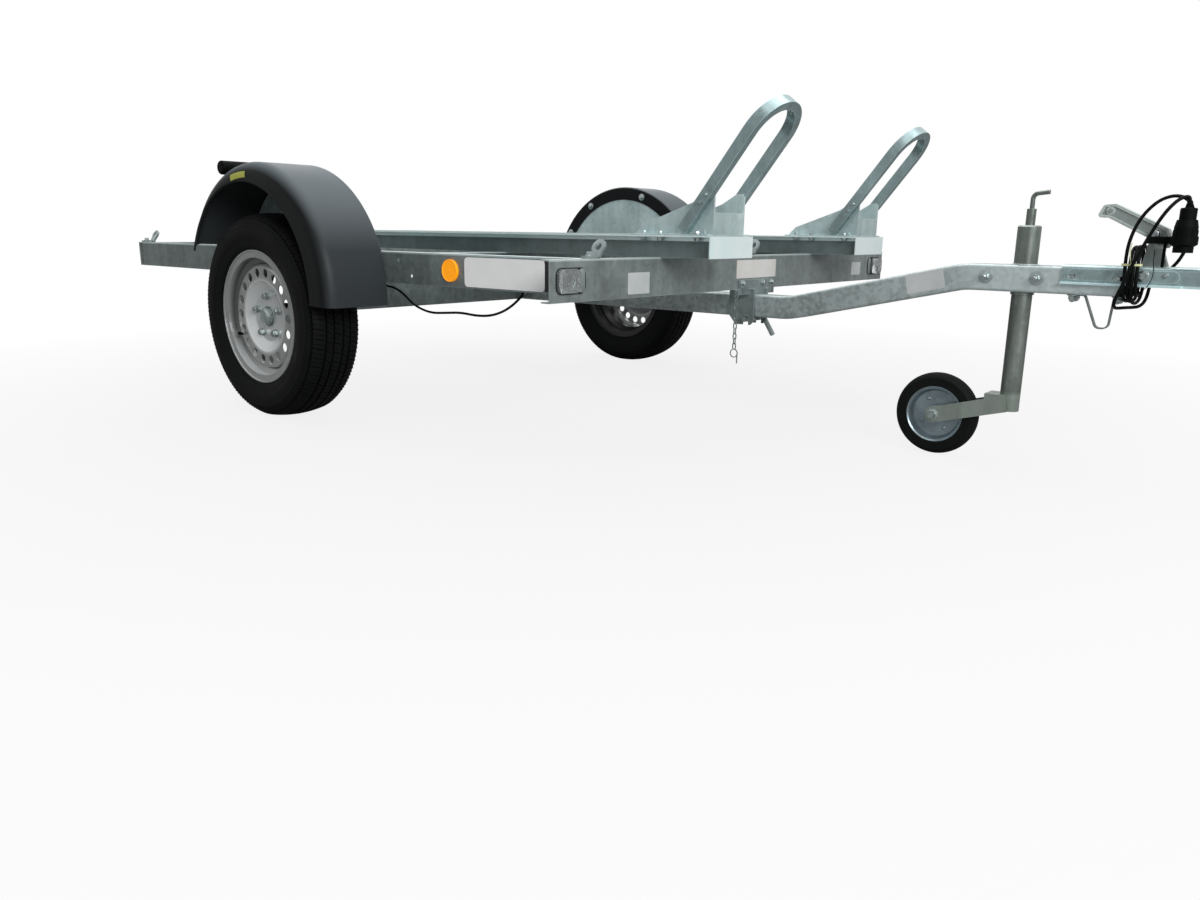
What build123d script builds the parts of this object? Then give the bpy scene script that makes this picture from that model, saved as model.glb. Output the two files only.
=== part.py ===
from build123d import *
import os
from math import acos, asin, atan2, cos, degrees, hypot, pi, radians, sin, tan

# A two-bike motorcycle trailer with a tilting bed, standing on its jockey wheel.
# Millimetres. X runs forward, Y to the left, Z up. The drawing is made with X = 0 at the
# wheels' axis, and every piece is shifted at the end to the middle of the overall length.

# Road wheels, 165/70 R13 on a 5J x 13 steel rim
wheel_y = 810
tyre_r = 281
tyre_w = 165
tread_w = 120
rim_w = 127
rim_seat_r = 165
rim_flange_r = 182.5
rim_t = 3.2
rim_well_r = 149
wheel_offset = 30
disc_t = 4
disc_ring_y = 50
disc_ring_in = 98
disc_ring_out = 140
vent_count = 18
vent_r = 12.5
vent_circle_r = 121
stud_count = 5
stud_circle_r = 56
stud_r = 6
stud_out = 20
hub_bore_r = 17.5
hub_r = 34
hub_flange_r = 68
hub_flange_t = 9
hub_len = 72
hub_cap_r = 26
hub_cap_len = 22

# Bed frame
frame_top = 466
bed_front = 1057
bed_rear = -1060
cross_half = 827
cross_h = 90
cross_flange = 25
cross_t = 3
side_y = 712
side_h = 80
side_flange = 40
side_t = 3
side_holes = ((416, 446), (467, 407))
side_hole_r = 4.5
mid_cross_x = (520, -480)
mid_cross_w = 40

# Axle with trailing arms
axle_x = 130
axle_size = 80
axle_gap = 6
axle_inset = 20
axle_t = 5
arm_t = 24
arm_h = 56
arm_end_r = 30
spindle_clear = 0.08
pad_len = 150

# Wheel rails on the bed, one for each motorcycle
rail_y = 375
rail_front = 1210
rail_w = 184
rail_trough_w = 140
rail_h = 50
rail_t = 2.5

# Front wheel holders
holder_rear = 980
holder_front = 1200
holder_half = 65
holder_t = 4
holder_tip_h = 96
holder_foot_w = 24
hoop_half = 85
hoop_lean = 38
hoop_len = 352
hoop_w = 20
hoop_d = 26
hoop_t = 2.5
hoop_foot_x = 1125
hoop_foot_z = 528

# Fenders
fender_x = 20
fender_z = 345
fender_r = 348
fender_t = 4
fender_in = 708
fender_w = 192
fender_shoulder = 36
fender_skirt = 48
fender_front_deg = -3
fender_rear_deg = 158
arch_x = -10
arch_r = 300
side_plate_t = 3
side_plate_margin = 12
side_plate_low = 424

# Drawbar
bar_size = 60
bar_t = 4
bar_corner_r = 7
bar_bend_r = 220
bar_low_z = 331
bar_high_z = 432
bar_rear = 190
bar_kink_low = 1175
bar_kink_high = 1623
bar_front = 1950
bar_play = 1
pivot_x = 215
pivot_r = 9
pivot_clear = 0.08
cheek_t = 5

# Saddle that holds the bed down on the drawbar
saddle_rear = 998
saddle_front = 1076
saddle_low = 279
saddle_play = 2
saddle_plate_half = 92
saddle_plate_z = (362, 401)
lock_x = 1052
lock_r = 7
lock_play = 0.2
lock_gate_play = 2
lock_reach = 62

# Coupling
head_rear = 1835
head_front = 2143
head_t = 4
head_low = 425
head_lip = 7
ball_x = 2104
ball_r = 25
nose_r = 39
head_edge_r = 9
head_neck_r = 60
head_panel = (1847, 2057, 434, 458)
head_panel_t = 1.5
head_slots = ((1859, 441), (1946, 440))
head_slot_size = (22, 11)
lever_pivot = (1997, 531)
lever_boss = (1911, 579)
lever_half = 15
lever_corner_r = 6
lever_rim = 5
lever_recess = 4

# Plug, its parking socket, and what hangs under the coupling
plug_x = 2057
plug_y = -50
plug_top = 583
plug_cap_r = 15
plug_cap_h = 23
plug_r = 21
plug_h = 32
spigot_r = 15
spigot_play = 0.3
socket_r = 24
socket_h = 32
socket_arm_t = 5
socket_post_r = 3
socket_post_ahead = 24
strap_w = 14
strap_t = 3
strap_rear = 1881
strap_front = 1938
strap_low = 332
end_cap_t = 5

# Cords: the coupling cable, hung in a coil round the coupling, and the lamp cable
cable_d = 7
coil_x = 1976
coil_half = 54
coil_z = (391, 507)
coil_corner_r = 40
coil_r = 9
lamp_cable_d = 6

# Chain of the lock pin
chain_y = -101
chain_ear = 14
link_len = 18
link_w = 11
link_wire = 2.4
link_play = 0.8
link_count = 11

# Jockey stand
jockey_x = 1750
sleeve_r = 25
sleeve_in_r = 22.3
sleeve_top = 548
sleeve_bevel = 3
crank_neck = 36
crank_neck_r = 10
crank_rise = 32
crank_reach = 34
crank_bend_r = 12
crank_r = 5
column_r = 22
column_in_r = 18.5
column_low = 128
column_top = 452
stand_trail = 165
stand_wheel_r = 100
stand_wheel_w = 44
stand_disc_r = 68
fork_gap = 5
fork_t = 4
fork_h = 38
fork_bolt_r = 6

# Lamps and small fittings
lamp_size = (12, 95, 56)
lamp_inset = 18
rear_lamp_size = (36, 150, 62)
rear_lamp_y = 600
reflector_r = 27
reflector_x = 620
eye_y = 655
eye_r = 18
eye_hole_r = 9
eye_t = 6
eye_lean = 30
eye_rise = 25
eye_foot = 34

# Rubber marker lamp on the right fender
marker_x = -160
marker_z = 684
marker_r = 19
marker_y = (-868, -768)
marker_seat = 0.3


def box(x_low, x_high, y_low, y_high, z_low, z_high):
    """A block between two corners."""
    size = (x_high - x_low, y_high - y_low, z_high - z_low)
    middle = ((x_low + x_high) / 2, (y_low + y_high) / 2, (z_low + z_high) / 2)
    return Pos(*middle) * Box(*size)


def rod(start, end, radius):
    """A round bar from one point to another."""
    way = Vector(*end) - Vector(*start)
    return extrude(Plane(origin=start, z_dir=way) * Circle(radius), way.length)


def slab(outline, y_low, y_high):
    """A plate whose outline lies in the X Z plane, between two values of Y."""
    plane = Plane(origin=(0, y_high, 0), x_dir=(1, 0, 0), z_dir=(0, -1, 0))
    return extrude(plane * outline, y_high - y_low)


def turned(outline, x, y, z):
    """A section of Y outward and radius, turned about a line along Y through a point."""
    plane = Plane(origin=(0, 0, 0), x_dir=(0, 1, 0), z_dir=(1, 0, 0))
    return Pos(x, y, z) * revolve(plane * outline, Axis.Y)


def both(piece):
    """A right-hand piece and its mirror image, as a dictionary of sides."""
    return {"right": piece, "left": piece.mirror(Plane.XZ)}


# Worked-out places
rear_end = bed_rear - rear_lamp_size[0]
middle_x = (head_front + rear_end) / 2
axle_half = side_y - axle_inset
fender_out = fender_in + fender_w
stand_x = jockey_x - stand_trail
axle_low = frame_top - side_h - axle_gap - axle_size
axle_z = axle_low + axle_size / 2
bar_path = [
    (bar_rear, bar_low_z),
    (bar_kink_low, bar_low_z),
    (bar_kink_high, bar_high_z),
    (bar_front, bar_high_z),
]
bar_half = bar_size / 2
parts = {}


# Bed frame: front and rear channels, side channels and two channels between them
def channel_x(x_low, x_high, half, z_low, z_high, t, opens_forward):
    """A cross channel with its web at one end of its depth in X."""
    body = box(x_low, x_high, -half, half, z_low, z_high)
    if opens_forward:
        hollow = box(x_low + t, x_high + 1, -half - 1, half + 1, z_low + t, z_high - t)
    else:
        hollow = box(x_low - 1, x_high - t, -half - 1, half + 1, z_low + t, z_high - t)
    return body - hollow


def side_beam():
    """The right side channel, open towards the middle of the bed."""
    x_low, x_high = bed_rear + cross_flange, bed_front - cross_flange
    z_low = frame_top - side_h
    body = box(x_low, x_high, -side_y, -side_y + side_flange, z_low, frame_top)
    hollow = box(
        x_low - 1,
        x_high + 1,
        -side_y + side_t,
        -side_y + side_flange + 1,
        z_low + side_t,
        frame_top - side_t,
    )
    beam = body - hollow
    for x, z in side_holes:
        beam -= rod((x, -side_y - 1, z), (x, -side_y + side_t + 1, z), side_hole_r)
    return beam


cross_low = frame_top - cross_h
parts["front_crossmember"] = channel_x(
    bed_front - cross_flange, bed_front, cross_half, cross_low, frame_top, cross_t, False
)
parts["rear_crossmember"] = channel_x(
    bed_rear, bed_rear + cross_flange, side_y, frame_top - side_h, frame_top, cross_t, True
)
for side, piece in both(side_beam()).items():
    parts[f"side_beam_{side}"] = piece
middles = [
    channel_x(
        x - mid_cross_w / 2,
        x + mid_cross_w / 2,
        side_y - side_flange,
        frame_top - side_h + side_t,
        frame_top,
        cross_t,
        x > 0,
    )
    for x in mid_cross_x
]
parts["mid_crossmembers"] = Compound(children=middles)


# Axle: a square tube under the side channels, with a trailing arm and spindle at each end
def axle_beam():
    half = axle_size / 2
    tube = box(axle_x - half, axle_x + half, -axle_half, axle_half, axle_low, axle_low + axle_size)
    inner = half - axle_t
    bore = box(
        axle_x - inner,
        axle_x + inner,
        -axle_half - 1,
        axle_half + 1,
        axle_z - inner,
        axle_z + inner,
    )
    beam = tube - bore
    for sign in (-1, 1):
        y_low, y_high = sorted((sign * (side_y - side_flange), sign * side_y))
        y_low, y_high = max(y_low, -axle_half), min(y_high, axle_half)
        x_low, x_high = axle_x - pad_len / 2, axle_x + pad_len / 2
        beam += box(x_low, x_high, y_low, y_high, axle_low + axle_size, frame_top - side_h)
    return beam


def axle_arm():
    """The right trailing arm, its spindle pointing out through the hub."""
    dx, dz = axle_x, axle_z - tyre_r
    length = hypot(dx, dz)
    tilt = degrees(atan2(dz, dx))
    bar = Pos(dx / 2, tyre_r + dz / 2) * Rot(0, 0, tilt) * Rectangle(length, arm_h)
    arm = bar + Pos(0, tyre_r) * Circle(arm_end_r) + Pos(dx, axle_z) * Circle(arm_end_r + 4)
    plate = slab(arm, -axle_half - arm_t, -axle_half)
    spindle_end = wheel_y + wheel_offset - 12
    spindle = rod(
        (0, -axle_half - arm_t, tyre_r), (0, -spindle_end, tyre_r), hub_bore_r - spindle_clear
    )
    return plate + spindle


parts["axle_beam"] = axle_beam()
parts["axle_arms"] = Compound(children=list(both(axle_arm()).values()))


# Road wheel, drawn with Y outward from the wheel's middle plane and turned about its axle
def rim():
    half, seat, well, tip = rim_w / 2, rim_seat_r, rim_well_r, rim_flange_r
    t = rim_t
    # Y outward, radius
    outside = [
        (half + 6.5, tip),
        (half + 3, tip),
        (half, tip - 3.5),
        (half, seat),
        (half - 20, seat),
        (half - 28, well),
        (-8, well),
        (-22, seat),
        (-half, seat),
        (-half, tip - 3.5),
        (-half - 3, tip),
        (-half - 6.5, tip),
    ]
    inside = [
        (-half - 6.5, tip - t),
        (-half - t - 0.6, tip - t),
        (-half - t, seat - t),
        (-22 - 1.6, seat - t),
        (-8 - 1.6, well - t),
        (half - 28 + 1.6, well - t),
        (half - 20 + 1.6, seat - t),
        (half + t, seat - t),
        (half + t + 0.6, tip - t),
        (half + 6.5, tip - t),
    ]
    barrel = turned(make_face(Polyline(*outside, *inside, close=True)), 0, 0, 0)
    ring, base = disc_ring_y, wheel_offset
    face_out = [
        (base + disc_t, hub_cap_r + 2),
        (base + disc_t, stud_circle_r + 14),
        (ring - 4, disc_ring_in - 6),
        (ring, disc_ring_in),
        (ring, disc_ring_out - 4),
        (ring - 5, disc_ring_out + 2),
        (half - 32, well - t),
    ]
    face_in = [(y - disc_t, r) for y, r in face_out[1:-2]]
    back = [(half - 38, well - t), (ring - 12, disc_ring_out - 1)]
    outline = Polyline(*face_out, *back, *reversed(face_in), (base, hub_cap_r + 2), close=True)
    disc = turned(make_face(outline), 0, 0, 0)
    for i in range(vent_count):
        a = 2 * pi * i / vent_count
        spot = (vent_circle_r * cos(a), 0, vent_circle_r * sin(a))
        disc -= rod((spot[0], base, spot[2]), (spot[0], ring + 10, spot[2]), vent_r)
    for i in range(stud_count):
        a = 2 * pi * i / stud_count + pi / 2
        spot = (stud_circle_r * cos(a), 0, stud_circle_r * sin(a))
        disc -= rod((spot[0], 0, spot[2]), (spot[0], ring, spot[2]), stud_r + 0.5)
    return barrel + disc


def tyre():
    half, side = tread_w / 2, tyre_w / 2
    seat, bead = rim_seat_r, rim_w / 2
    edge_r = tyre_r - 7
    bulge_r = (tyre_r + rim_flange_r) / 2
    flange = rim_flange_r - 1
    outline = [
        Line((-bead, seat), (-bead, flange)),
        ThreePointArc((-bead, flange), (-side, bulge_r), (-half, edge_r)),
        ThreePointArc((-half, edge_r), (0, tyre_r), (half, edge_r)),
        ThreePointArc((half, edge_r), (side, bulge_r), (bead, flange)),
        Line((bead, flange), (bead, seat)),
        Line((bead, seat), (bead - 14, seat)),
        Line((bead - 14, seat), (side - 12, bulge_r)),
        Line((side - 12, bulge_r), (half - 8, edge_r - 12)),
        Line((half - 8, edge_r - 12), (8 - half, edge_r - 12)),
        Line((8 - half, edge_r - 12), (12 - side, bulge_r)),
        Line((12 - side, bulge_r), (14 - bead, seat)),
        Line((14 - bead, seat), (-bead, seat)),
    ]
    return turned(make_face(Wire(outline)), 0, 0, 0)


def hub():
    """Hub with its flange against the disc, its studs and its grease cap."""
    face = wheel_offset
    body = turned(
        make_face(
            Polyline(
                (face - hub_len, hub_bore_r),
                (face - hub_len, hub_r - 6),
                (face - hub_len + 10, hub_r),
                (face - hub_flange_t, hub_r + 4),
                (face - hub_flange_t, hub_flange_r),
                (face, hub_flange_r),
                (face, hub_cap_r),
                (face + hub_cap_len - 5, hub_cap_r - 3),
                (face + hub_cap_len, hub_cap_r - 9),
                (face + hub_cap_len, 0),
                (face - 10, 0),
                (face - 10, hub_bore_r),
                close=True,
            )
        ),
        0,
        0,
        0,
    )
    for i in range(stud_count):
        a = 2 * pi * i / stud_count + pi / 2
        spot = (stud_circle_r * cos(a), stud_circle_r * sin(a))
        body += rod((spot[0], face - 2, spot[1]), (spot[0], face + stud_out, spot[1]), stud_r)
    return body


for name, piece in (("rim", rim()), ("tyre", tyre()), ("hub", hub())):
    left = Pos(0, wheel_y, tyre_r) * piece
    parts[f"{name}_left"] = left
    parts[f"{name}_right"] = left.mirror(Plane.XZ)


# Wheel rails: troughs with turned-out edges, closed by a plate at the front
def rail():
    half, trough, t = rail_w / 2, rail_trough_w / 2, rail_t
    z_low, z_high = frame_top, frame_top + rail_h
    # Y from the rail's middle, Z
    section = [
        (-half, z_high),
        (-trough + t, z_high),
        (-trough + t, z_low + t),
        (trough - t, z_low + t),
        (trough - t, z_high),
        (half, z_high),
        (half, z_high - t),
        (trough, z_high - t),
        (trough, z_low),
        (-trough, z_low),
        (-trough, z_high - t),
        (-half, z_high - t),
    ]
    plane = Plane(origin=(bed_rear, 0, 0), x_dir=(0, 1, 0), z_dir=(1, 0, 0))
    length = rail_front - t - bed_rear
    trough_body = extrude(plane * make_face(Polyline(*section, close=True)), length)
    front_plate = box(rail_front - t, rail_front, -half, half, z_low, z_high)
    return Pos(0, -rail_y, 0) * (trough_body + front_plate)


for side, piece in both(rail()).items():
    parts[f"wheel_rail_{side}"] = piece


# Holder: a folded pocket on the rail with two rising side plates and a front plate
def holder():
    t, half = holder_t, holder_half
    low = frame_top + rail_h
    tip = low + holder_tip_h
    profile = make_face(
        Polyline(
            (holder_rear, low),
            (holder_rear, low + 5),
            (holder_rear + 22, low + 26),
            (holder_front - 60, low + 74),
            (holder_front - 22, tip),
            (holder_front - 6, tip),
            (holder_front, tip - 8),
            (holder_front, low),
            close=True,
        )
    )
    pocket = Part()
    for sign in (-1, 1):
        y_low, y_high = sorted((sign * half, sign * (half - t)))
        pocket += slab(profile, y_low, y_high)
        foot_low, foot_high = sorted((sign * (half - t), sign * (half + holder_foot_w)))
        pocket += box(holder_rear, holder_front, foot_low, foot_high, low, low + t)
    pocket += box(holder_front - t, holder_front, -half, half, low, low + 52)
    return Pos(0, -rail_y, 0) * pocket


def hoop():
    """Rectangular tube bent to an arch, leaning forward, its legs outside the side plates."""
    outer_r = hoop_half
    straight = hoop_len - outer_r
    lean = radians(hoop_lean)
    up = Vector(sin(lean), 0, cos(lean))
    face = Vector(cos(lean), 0, -sin(lean))
    plane = Plane(
        origin=(hoop_foot_x, -rail_y, hoop_foot_z), x_dir=(0, 1, 0), z_dir=(-face.X, 0, -face.Z)
    )
    if plane.y_dir.dot(up) < 0:
        plane = Plane(
            origin=(hoop_foot_x, -rail_y, hoop_foot_z), x_dir=(0, 1, 0), z_dir=(face.X, 0, face.Z)
        )

    def arch(radius, depth):
        body = Pos(0, straight / 2) * Rectangle(2 * radius, straight)
        return extrude(plane * (body + Pos(0, straight) * Circle(radius)), depth / 2, both=True)

    solid = arch(outer_r, hoop_d) - arch(outer_r - hoop_w, hoop_d + 2)
    hollow = arch(outer_r - hoop_t, hoop_d - 2 * hoop_t)
    hollow -= arch(outer_r - hoop_w + hoop_t, hoop_d)
    low = frame_top + rail_h + holder_t
    reach = hoop_len + hoop_half
    trim = box(
        hoop_foot_x - reach, hoop_foot_x + reach, -rail_y - reach, -rail_y + reach, low - reach, low
    )
    return solid - hollow - trim


for side, piece in both(holder()).items():
    parts[f"wheel_holder_{side}"] = piece
for side, piece in both(hoop()).items():
    parts[f"hoop_{side}"] = piece


# Fenders: a plastic arch turned about a line along Y, with an outer lip cut to the wheel arch
def fender():
    t, shoulder = fender_t, fender_shoulder
    r, y_in, y_out = fender_r, fender_in, fender_out
    lip = arch_r - 60
    turn = 0.7071
    arc_mid = (y_out - shoulder * (1 - turn), r - shoulder * (1 - turn))
    in_mid = (y_out - shoulder + (shoulder - t) * turn, r - shoulder + (shoulder - t) * turn)
    outline = [
        Line((y_in, r - fender_skirt), (y_in, r - 8)),
        ThreePointArc((y_in, r - 8), (y_in + 2.34, r - 2.34), (y_in + 8, r)),
        Line((y_in + 8, r), (y_out - shoulder, r)),
        ThreePointArc((y_out - shoulder, r), arc_mid, (y_out, r - shoulder)),
        Line((y_out, r - shoulder), (y_out, lip)),
        Line((y_out, lip), (y_out - t, lip)),
        Line((y_out - t, lip), (y_out - t, r - shoulder)),
        ThreePointArc((y_out - t, r - shoulder), in_mid, (y_out - shoulder, r - t)),
        Line((y_out - shoulder, r - t), (y_in + 8, r - t)),
        ThreePointArc((y_in + 8, r - t), (y_in + 5.17, r - 5.17), (y_in + t, r - 8)),
        Line((y_in + t, r - 8), (y_in + t, r - fender_skirt)),
        Line((y_in + t, r - fender_skirt), (y_in, r - fender_skirt)),
    ]
    plane = Plane(origin=(0, 0, 0), x_dir=(0, 1, 0), z_dir=(1, 0, 0))
    sweep = fender_rear_deg - fender_front_deg
    # The section stands above the axis, so it is first turned to the front end's angle
    start = Rot(0, 90 - fender_front_deg, 0) * (plane * make_face(Wire(outline)))
    body = revolve(start, Axis.Y, -sweep)
    body = Pos(fender_x, 0, fender_z) * body
    arch_low, arch_high = y_out - shoulder, y_out + 1
    opening = rod((arch_x, arch_low, fender_z), (arch_x, arch_high, fender_z), arch_r)
    reach = fender_r + 10
    beam_room = box(
        fender_x - reach,
        fender_x + reach,
        y_in - 1,
        side_y + side_plate_t,
        fender_z - 60,
        frame_top,
    )
    return body - opening - beam_room


def side_plate():
    """Steel plate between the side channel and the fender's inner skirt."""
    radius = fender_r - side_plate_margin
    disc = Pos(fender_x, fender_z) * Circle(radius)
    keep = Pos(fender_x, side_plate_low + radius) * Rectangle(2 * radius, 2 * radius)
    return slab(disc & keep, side_y, side_y + side_plate_t)


for name, piece in (("fender", fender()), ("fender_plate", side_plate())):
    parts[f"{name}_left"] = piece
    parts[f"{name}_right"] = piece.mirror(Plane.XZ)


# Drawbar: a cranked square tube from its pivot ahead of the axle to the coupling
def along(points, section):
    """A section carried along the cranked centre line, with softly bent corners."""
    way = FilletPolyline(*[(x, 0, z) for x, z in points], radius=bar_bend_r)
    x, z = points[0]
    start = Plane(origin=(x, 0, z), x_dir=(0, 1, 0), z_dir=(1, 0, 0))
    return sweep(start * section, path=way)


def drawbar():
    inner_path = [(bar_rear - 1, bar_low_z), *bar_path[1:-1], (bar_front + 1, bar_high_z)]
    hollow = bar_size - 2 * bar_t
    bar = along(bar_path, RectangleRounded(bar_size, bar_size, bar_corner_r))
    bar -= along(inner_path, Rectangle(hollow, hollow))
    bar -= rod((pivot_x, -bar_half - 1, bar_low_z), (pivot_x, bar_half + 1, bar_low_z), pivot_r)
    bar -= rod((jockey_x, 0, bar_high_z - bar_size), (jockey_x, 0, bar_high_z + bar_size), sleeve_r)
    return bar


def pivot_bracket():
    """Two cheeks on the axle's front face and the pin that the drawbar turns on."""
    axle_front = axle_x + axle_size / 2
    cheek = make_face(
        Polyline(
            (axle_front, bar_low_z - 30),
            (axle_front, bar_low_z + 38),
            (pivot_x, bar_low_z + 24),
            (pivot_x + 24, bar_low_z),
            (pivot_x, bar_low_z - 24),
            close=True,
        )
    )
    near = bar_half + bar_play
    bracket = slab(cheek, near, near + cheek_t) + slab(cheek, -near - cheek_t, -near)
    pin_half = near + cheek_t + 8
    pin = rod(
        (pivot_x, -pin_half, bar_low_z), (pivot_x, pin_half, bar_low_z), pivot_r - pivot_clear
    )
    return bracket + pin


def saddle():
    """Bracket on the front channel whose cheeks straddle the drawbar."""
    near = bar_half + saddle_play
    cheek = make_face(
        Polyline(
            (saddle_rear, cross_low),
            (saddle_front, cross_low),
            (saddle_front, saddle_low + 10),
            (saddle_front - 10, saddle_low),
            (saddle_rear + 22, saddle_low),
            (saddle_rear, saddle_low + 26),
            close=True,
        )
    )
    lock_z = bar_low_z - bar_half - lock_play - lock_r
    gate_r = lock_r + lock_gate_play
    gate = Pos(lock_x, lock_z) * Circle(gate_r)
    gate += Pos(lock_x, lock_z - bar_half) * Rectangle(2 * gate_r, bar_size)
    cheek -= gate
    bracket = slab(cheek, near, near + cheek_t) + slab(cheek, -near - cheek_t, -near)
    top = cross_low
    bracket += box(saddle_rear, bed_front, -near - cheek_t, near + cheek_t, top - 4, top)
    front = bed_front
    low, high = saddle_plate_z
    bracket += box(front, front + 5, -saddle_plate_half, saddle_plate_half, low, high)
    bracket += box(front - 20, front + 5, -near - cheek_t, near + cheek_t, low, top)
    ear = box(
        front, front + 5, chain_y - chain_ear / 2, -saddle_plate_half, low, low + chain_ear
    )
    eye = (chain_y, low + chain_ear / 2)
    ear -= rod((front - 1, *eye), (front + 6, *eye), link_wire + link_play)
    return bracket + ear


def pin_chain():
    """Flat links hung from the saddle's ear, each a quarter turn from the next, and a clip."""
    pitch = link_len - 2 * link_wire + 0.3
    top = saddle_plate_z[0] + chain_ear / 2 + link_wire / 2
    outer = SlotOverall(link_len, link_w, rotation=90)
    inner = SlotOverall(link_len - 2 * link_wire, link_w - 2 * link_wire, rotation=90)
    chain = Part()
    x = bed_front + 2.5
    for i in range(link_count):
        z = top - link_len / 2 - i * pitch
        ring = slab(Pos(x, z) * (outer - inner), -link_wire / 2, link_wire / 2)
        if i % 2:
            ring = Pos(x, 0, z) * Rot(0, 0, 90) * Pos(-x, 0, -z) * ring
        chain += Pos(0, chain_y, 0) * ring
    clip_z = top - link_len - (link_count - 1) * pitch + link_wire - 0.3
    clip = Circle(12) - Circle(12 - link_wire)
    clip += Pos(10, -14) * Rectangle(link_wire, 26)
    chain += Pos(0, chain_y, 0) * slab(
        Pos(x, clip_z - 12) * clip, -link_wire / 2, link_wire / 2
    )
    return chain


def lock_pin():
    """Cross pin under the drawbar with a bent handle on the left."""
    lock_z = bar_low_z - bar_half - lock_play - lock_r
    end = bar_half + saddle_play + cheek_t + 8
    pin = rod((lock_x, -end, lock_z), (lock_x, lock_reach, lock_z), lock_r)
    pin += Pos(lock_x, lock_reach, lock_z) * Sphere(lock_r)
    pin += rod((lock_x, lock_reach, lock_z), (lock_x + 18, lock_reach + 24, lock_z - 50), lock_r)
    return pin


parts["drawbar"] = drawbar()
parts["pivot_bracket"] = pivot_bracket()
parts["saddle"] = saddle()
parts["lock_pin"] = lock_pin()
parts["pin_chain"] = pin_chain()


# Coupling head: a pressed cover over the bar's front end, with the ball socket in its nose
def head_plan(inset):
    """The head seen from above: straight sides, a neck, and a round nose about the ball."""
    side = bar_half + head_t - inset
    radius = nose_r - inset
    rear = head_rear - (1 if inset else 0)
    shoulder_x = ball_x - 42
    lie = atan2(side, shoulder_x - ball_x) - acos(radius / hypot(ball_x - shoulder_x, side))
    x, y = ball_x + radius * cos(lie), radius * sin(lie)
    outline = [
        Line((x, -y), (shoulder_x, -side)),
        Line((shoulder_x, -side), (rear, -side)),
        Line((rear, -side), (rear, side)),
        Line((rear, side), (shoulder_x, side)),
        Line((shoulder_x, side), (x, y)),
        ThreePointArc((x, y), (ball_x + radius, 0), (x, -y)),
    ]
    plan = make_face(outline)
    necks = [v for v in plan.vertices() if abs(v.X - shoulder_x) < 0.1]
    return fillet(necks, head_neck_r)


def pressed(inset, low, high, edge_r):
    """A block of the head's plan whose top edge is rounded, but for its rear end."""
    block = extrude(Plane.XY.offset(low) * head_plan(inset), high - low)
    rims = [e for e in block.edges().group_by(Axis.Z)[-1] if e.center().X > head_rear + 2]
    return fillet(rims, edge_r)


def coupling_head():
    half = bar_half + head_t
    top = bar_high_z + bar_half + head_t
    body = pressed(0, head_low, top, head_edge_r)
    x_low, x_high, z_low, z_high = head_panel
    panel = Pos((x_low + x_high) / 2, (z_low + z_high) / 2) * SlotOverall(
        x_high - x_low, z_high - z_low
    )
    for sign in (-1, 1):
        y_low, y_high = sorted((sign * half, sign * (half + head_lip)))
        body += box(head_rear, ball_x - 42, y_low, y_high, head_low, head_low + head_t)
        y_low, y_high = sorted((sign * (half - 1), sign * (half + head_panel_t)))
        body += slab(panel, y_low, y_high)
    body -= pressed(head_t, head_low - 1, top - head_t, head_edge_r - head_t)
    for x, z in head_slots:
        body -= slab(Pos(x, z) * SlotOverall(*head_slot_size), -half - 2, half + 2)
    cup_z = bar_high_z
    cup = Pos(ball_x, 0, cup_z) * Sphere(ball_r + 8)
    cup &= box(ball_x - 60, ball_x + 60, -60, 60, head_low, top + 20)
    body += cup
    body -= Pos(ball_x, 0, cup_z) * Sphere(ball_r + 0.2)
    body -= rod((ball_x, 0, cup_z - 40), (ball_x, 0, cup_z), ball_r + 0.2)
    return body


def coupling_lever():
    """Cast lever with hollowed sides, rising to the rear from the tower on the head."""
    x, z = lever_pivot
    # Place from the pivot: forward, up
    rim = [
        (-112, 34),
        (-100, 60),
        (-78, 62),
        (24, 12),
        (34, -8),
        (28, -27),
        (8, -27),
        (-4, -10),
        (-90, 34),
    ]
    shape = make_face(Polyline(*[(x + dx, z + dz) for dx, dz in rim], close=True))
    shape = fillet(shape.vertices(), lever_corner_r)
    lever = slab(shape, -lever_half, lever_half)
    dish = offset(shape, -lever_rim) - Pos(x, z) * Circle(12) - Pos(*lever_boss) * Circle(8)
    lever -= slab(dish, lever_half - lever_recess, lever_half + 1)
    lever -= slab(dish, -lever_half - 1, -lever_half + lever_recess)
    top = bar_high_z + bar_half + head_t
    tower = make_face(
        Polyline((x - 16, top), (x - 6, z), (x + 8, z), (x + 32, top), close=True)
    )
    return lever + slab(tower, -lever_half + 5, lever_half - 5)


parts["coupling_head"] = coupling_head()
parts["coupling_lever"] = coupling_lever()


# Plug in its parking socket, the bar's end cap, and the strap under the coupling
def plug():
    """Plug body with its cable cap on top and its spigot in the socket."""
    seat = plug_top - plug_cap_h - plug_h
    # Radius, Z
    section = [
        (0, plug_top),
        (plug_cap_r - 2, plug_top),
        (plug_cap_r, plug_top - 2),
        (plug_cap_r, plug_top - plug_cap_h),
        (plug_r - 3, plug_top - plug_cap_h),
        (plug_r, plug_top - plug_cap_h - 14),
        (plug_r, seat),
        (spigot_r, seat),
        (spigot_r, seat - socket_h + 8),
        (0, seat - socket_h + 8),
    ]
    body = revolve(Plane.XZ * make_face(Polyline(*section, close=True)), Axis.Z)
    for i in range(8):
        rib = Rot(0, 0, 45 * i) * box(plug_r - 1, plug_r + 1, -2, 2, seat, seat + 12)
        body += rib
    return Pos(plug_x, plug_y, 0) * body


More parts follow.
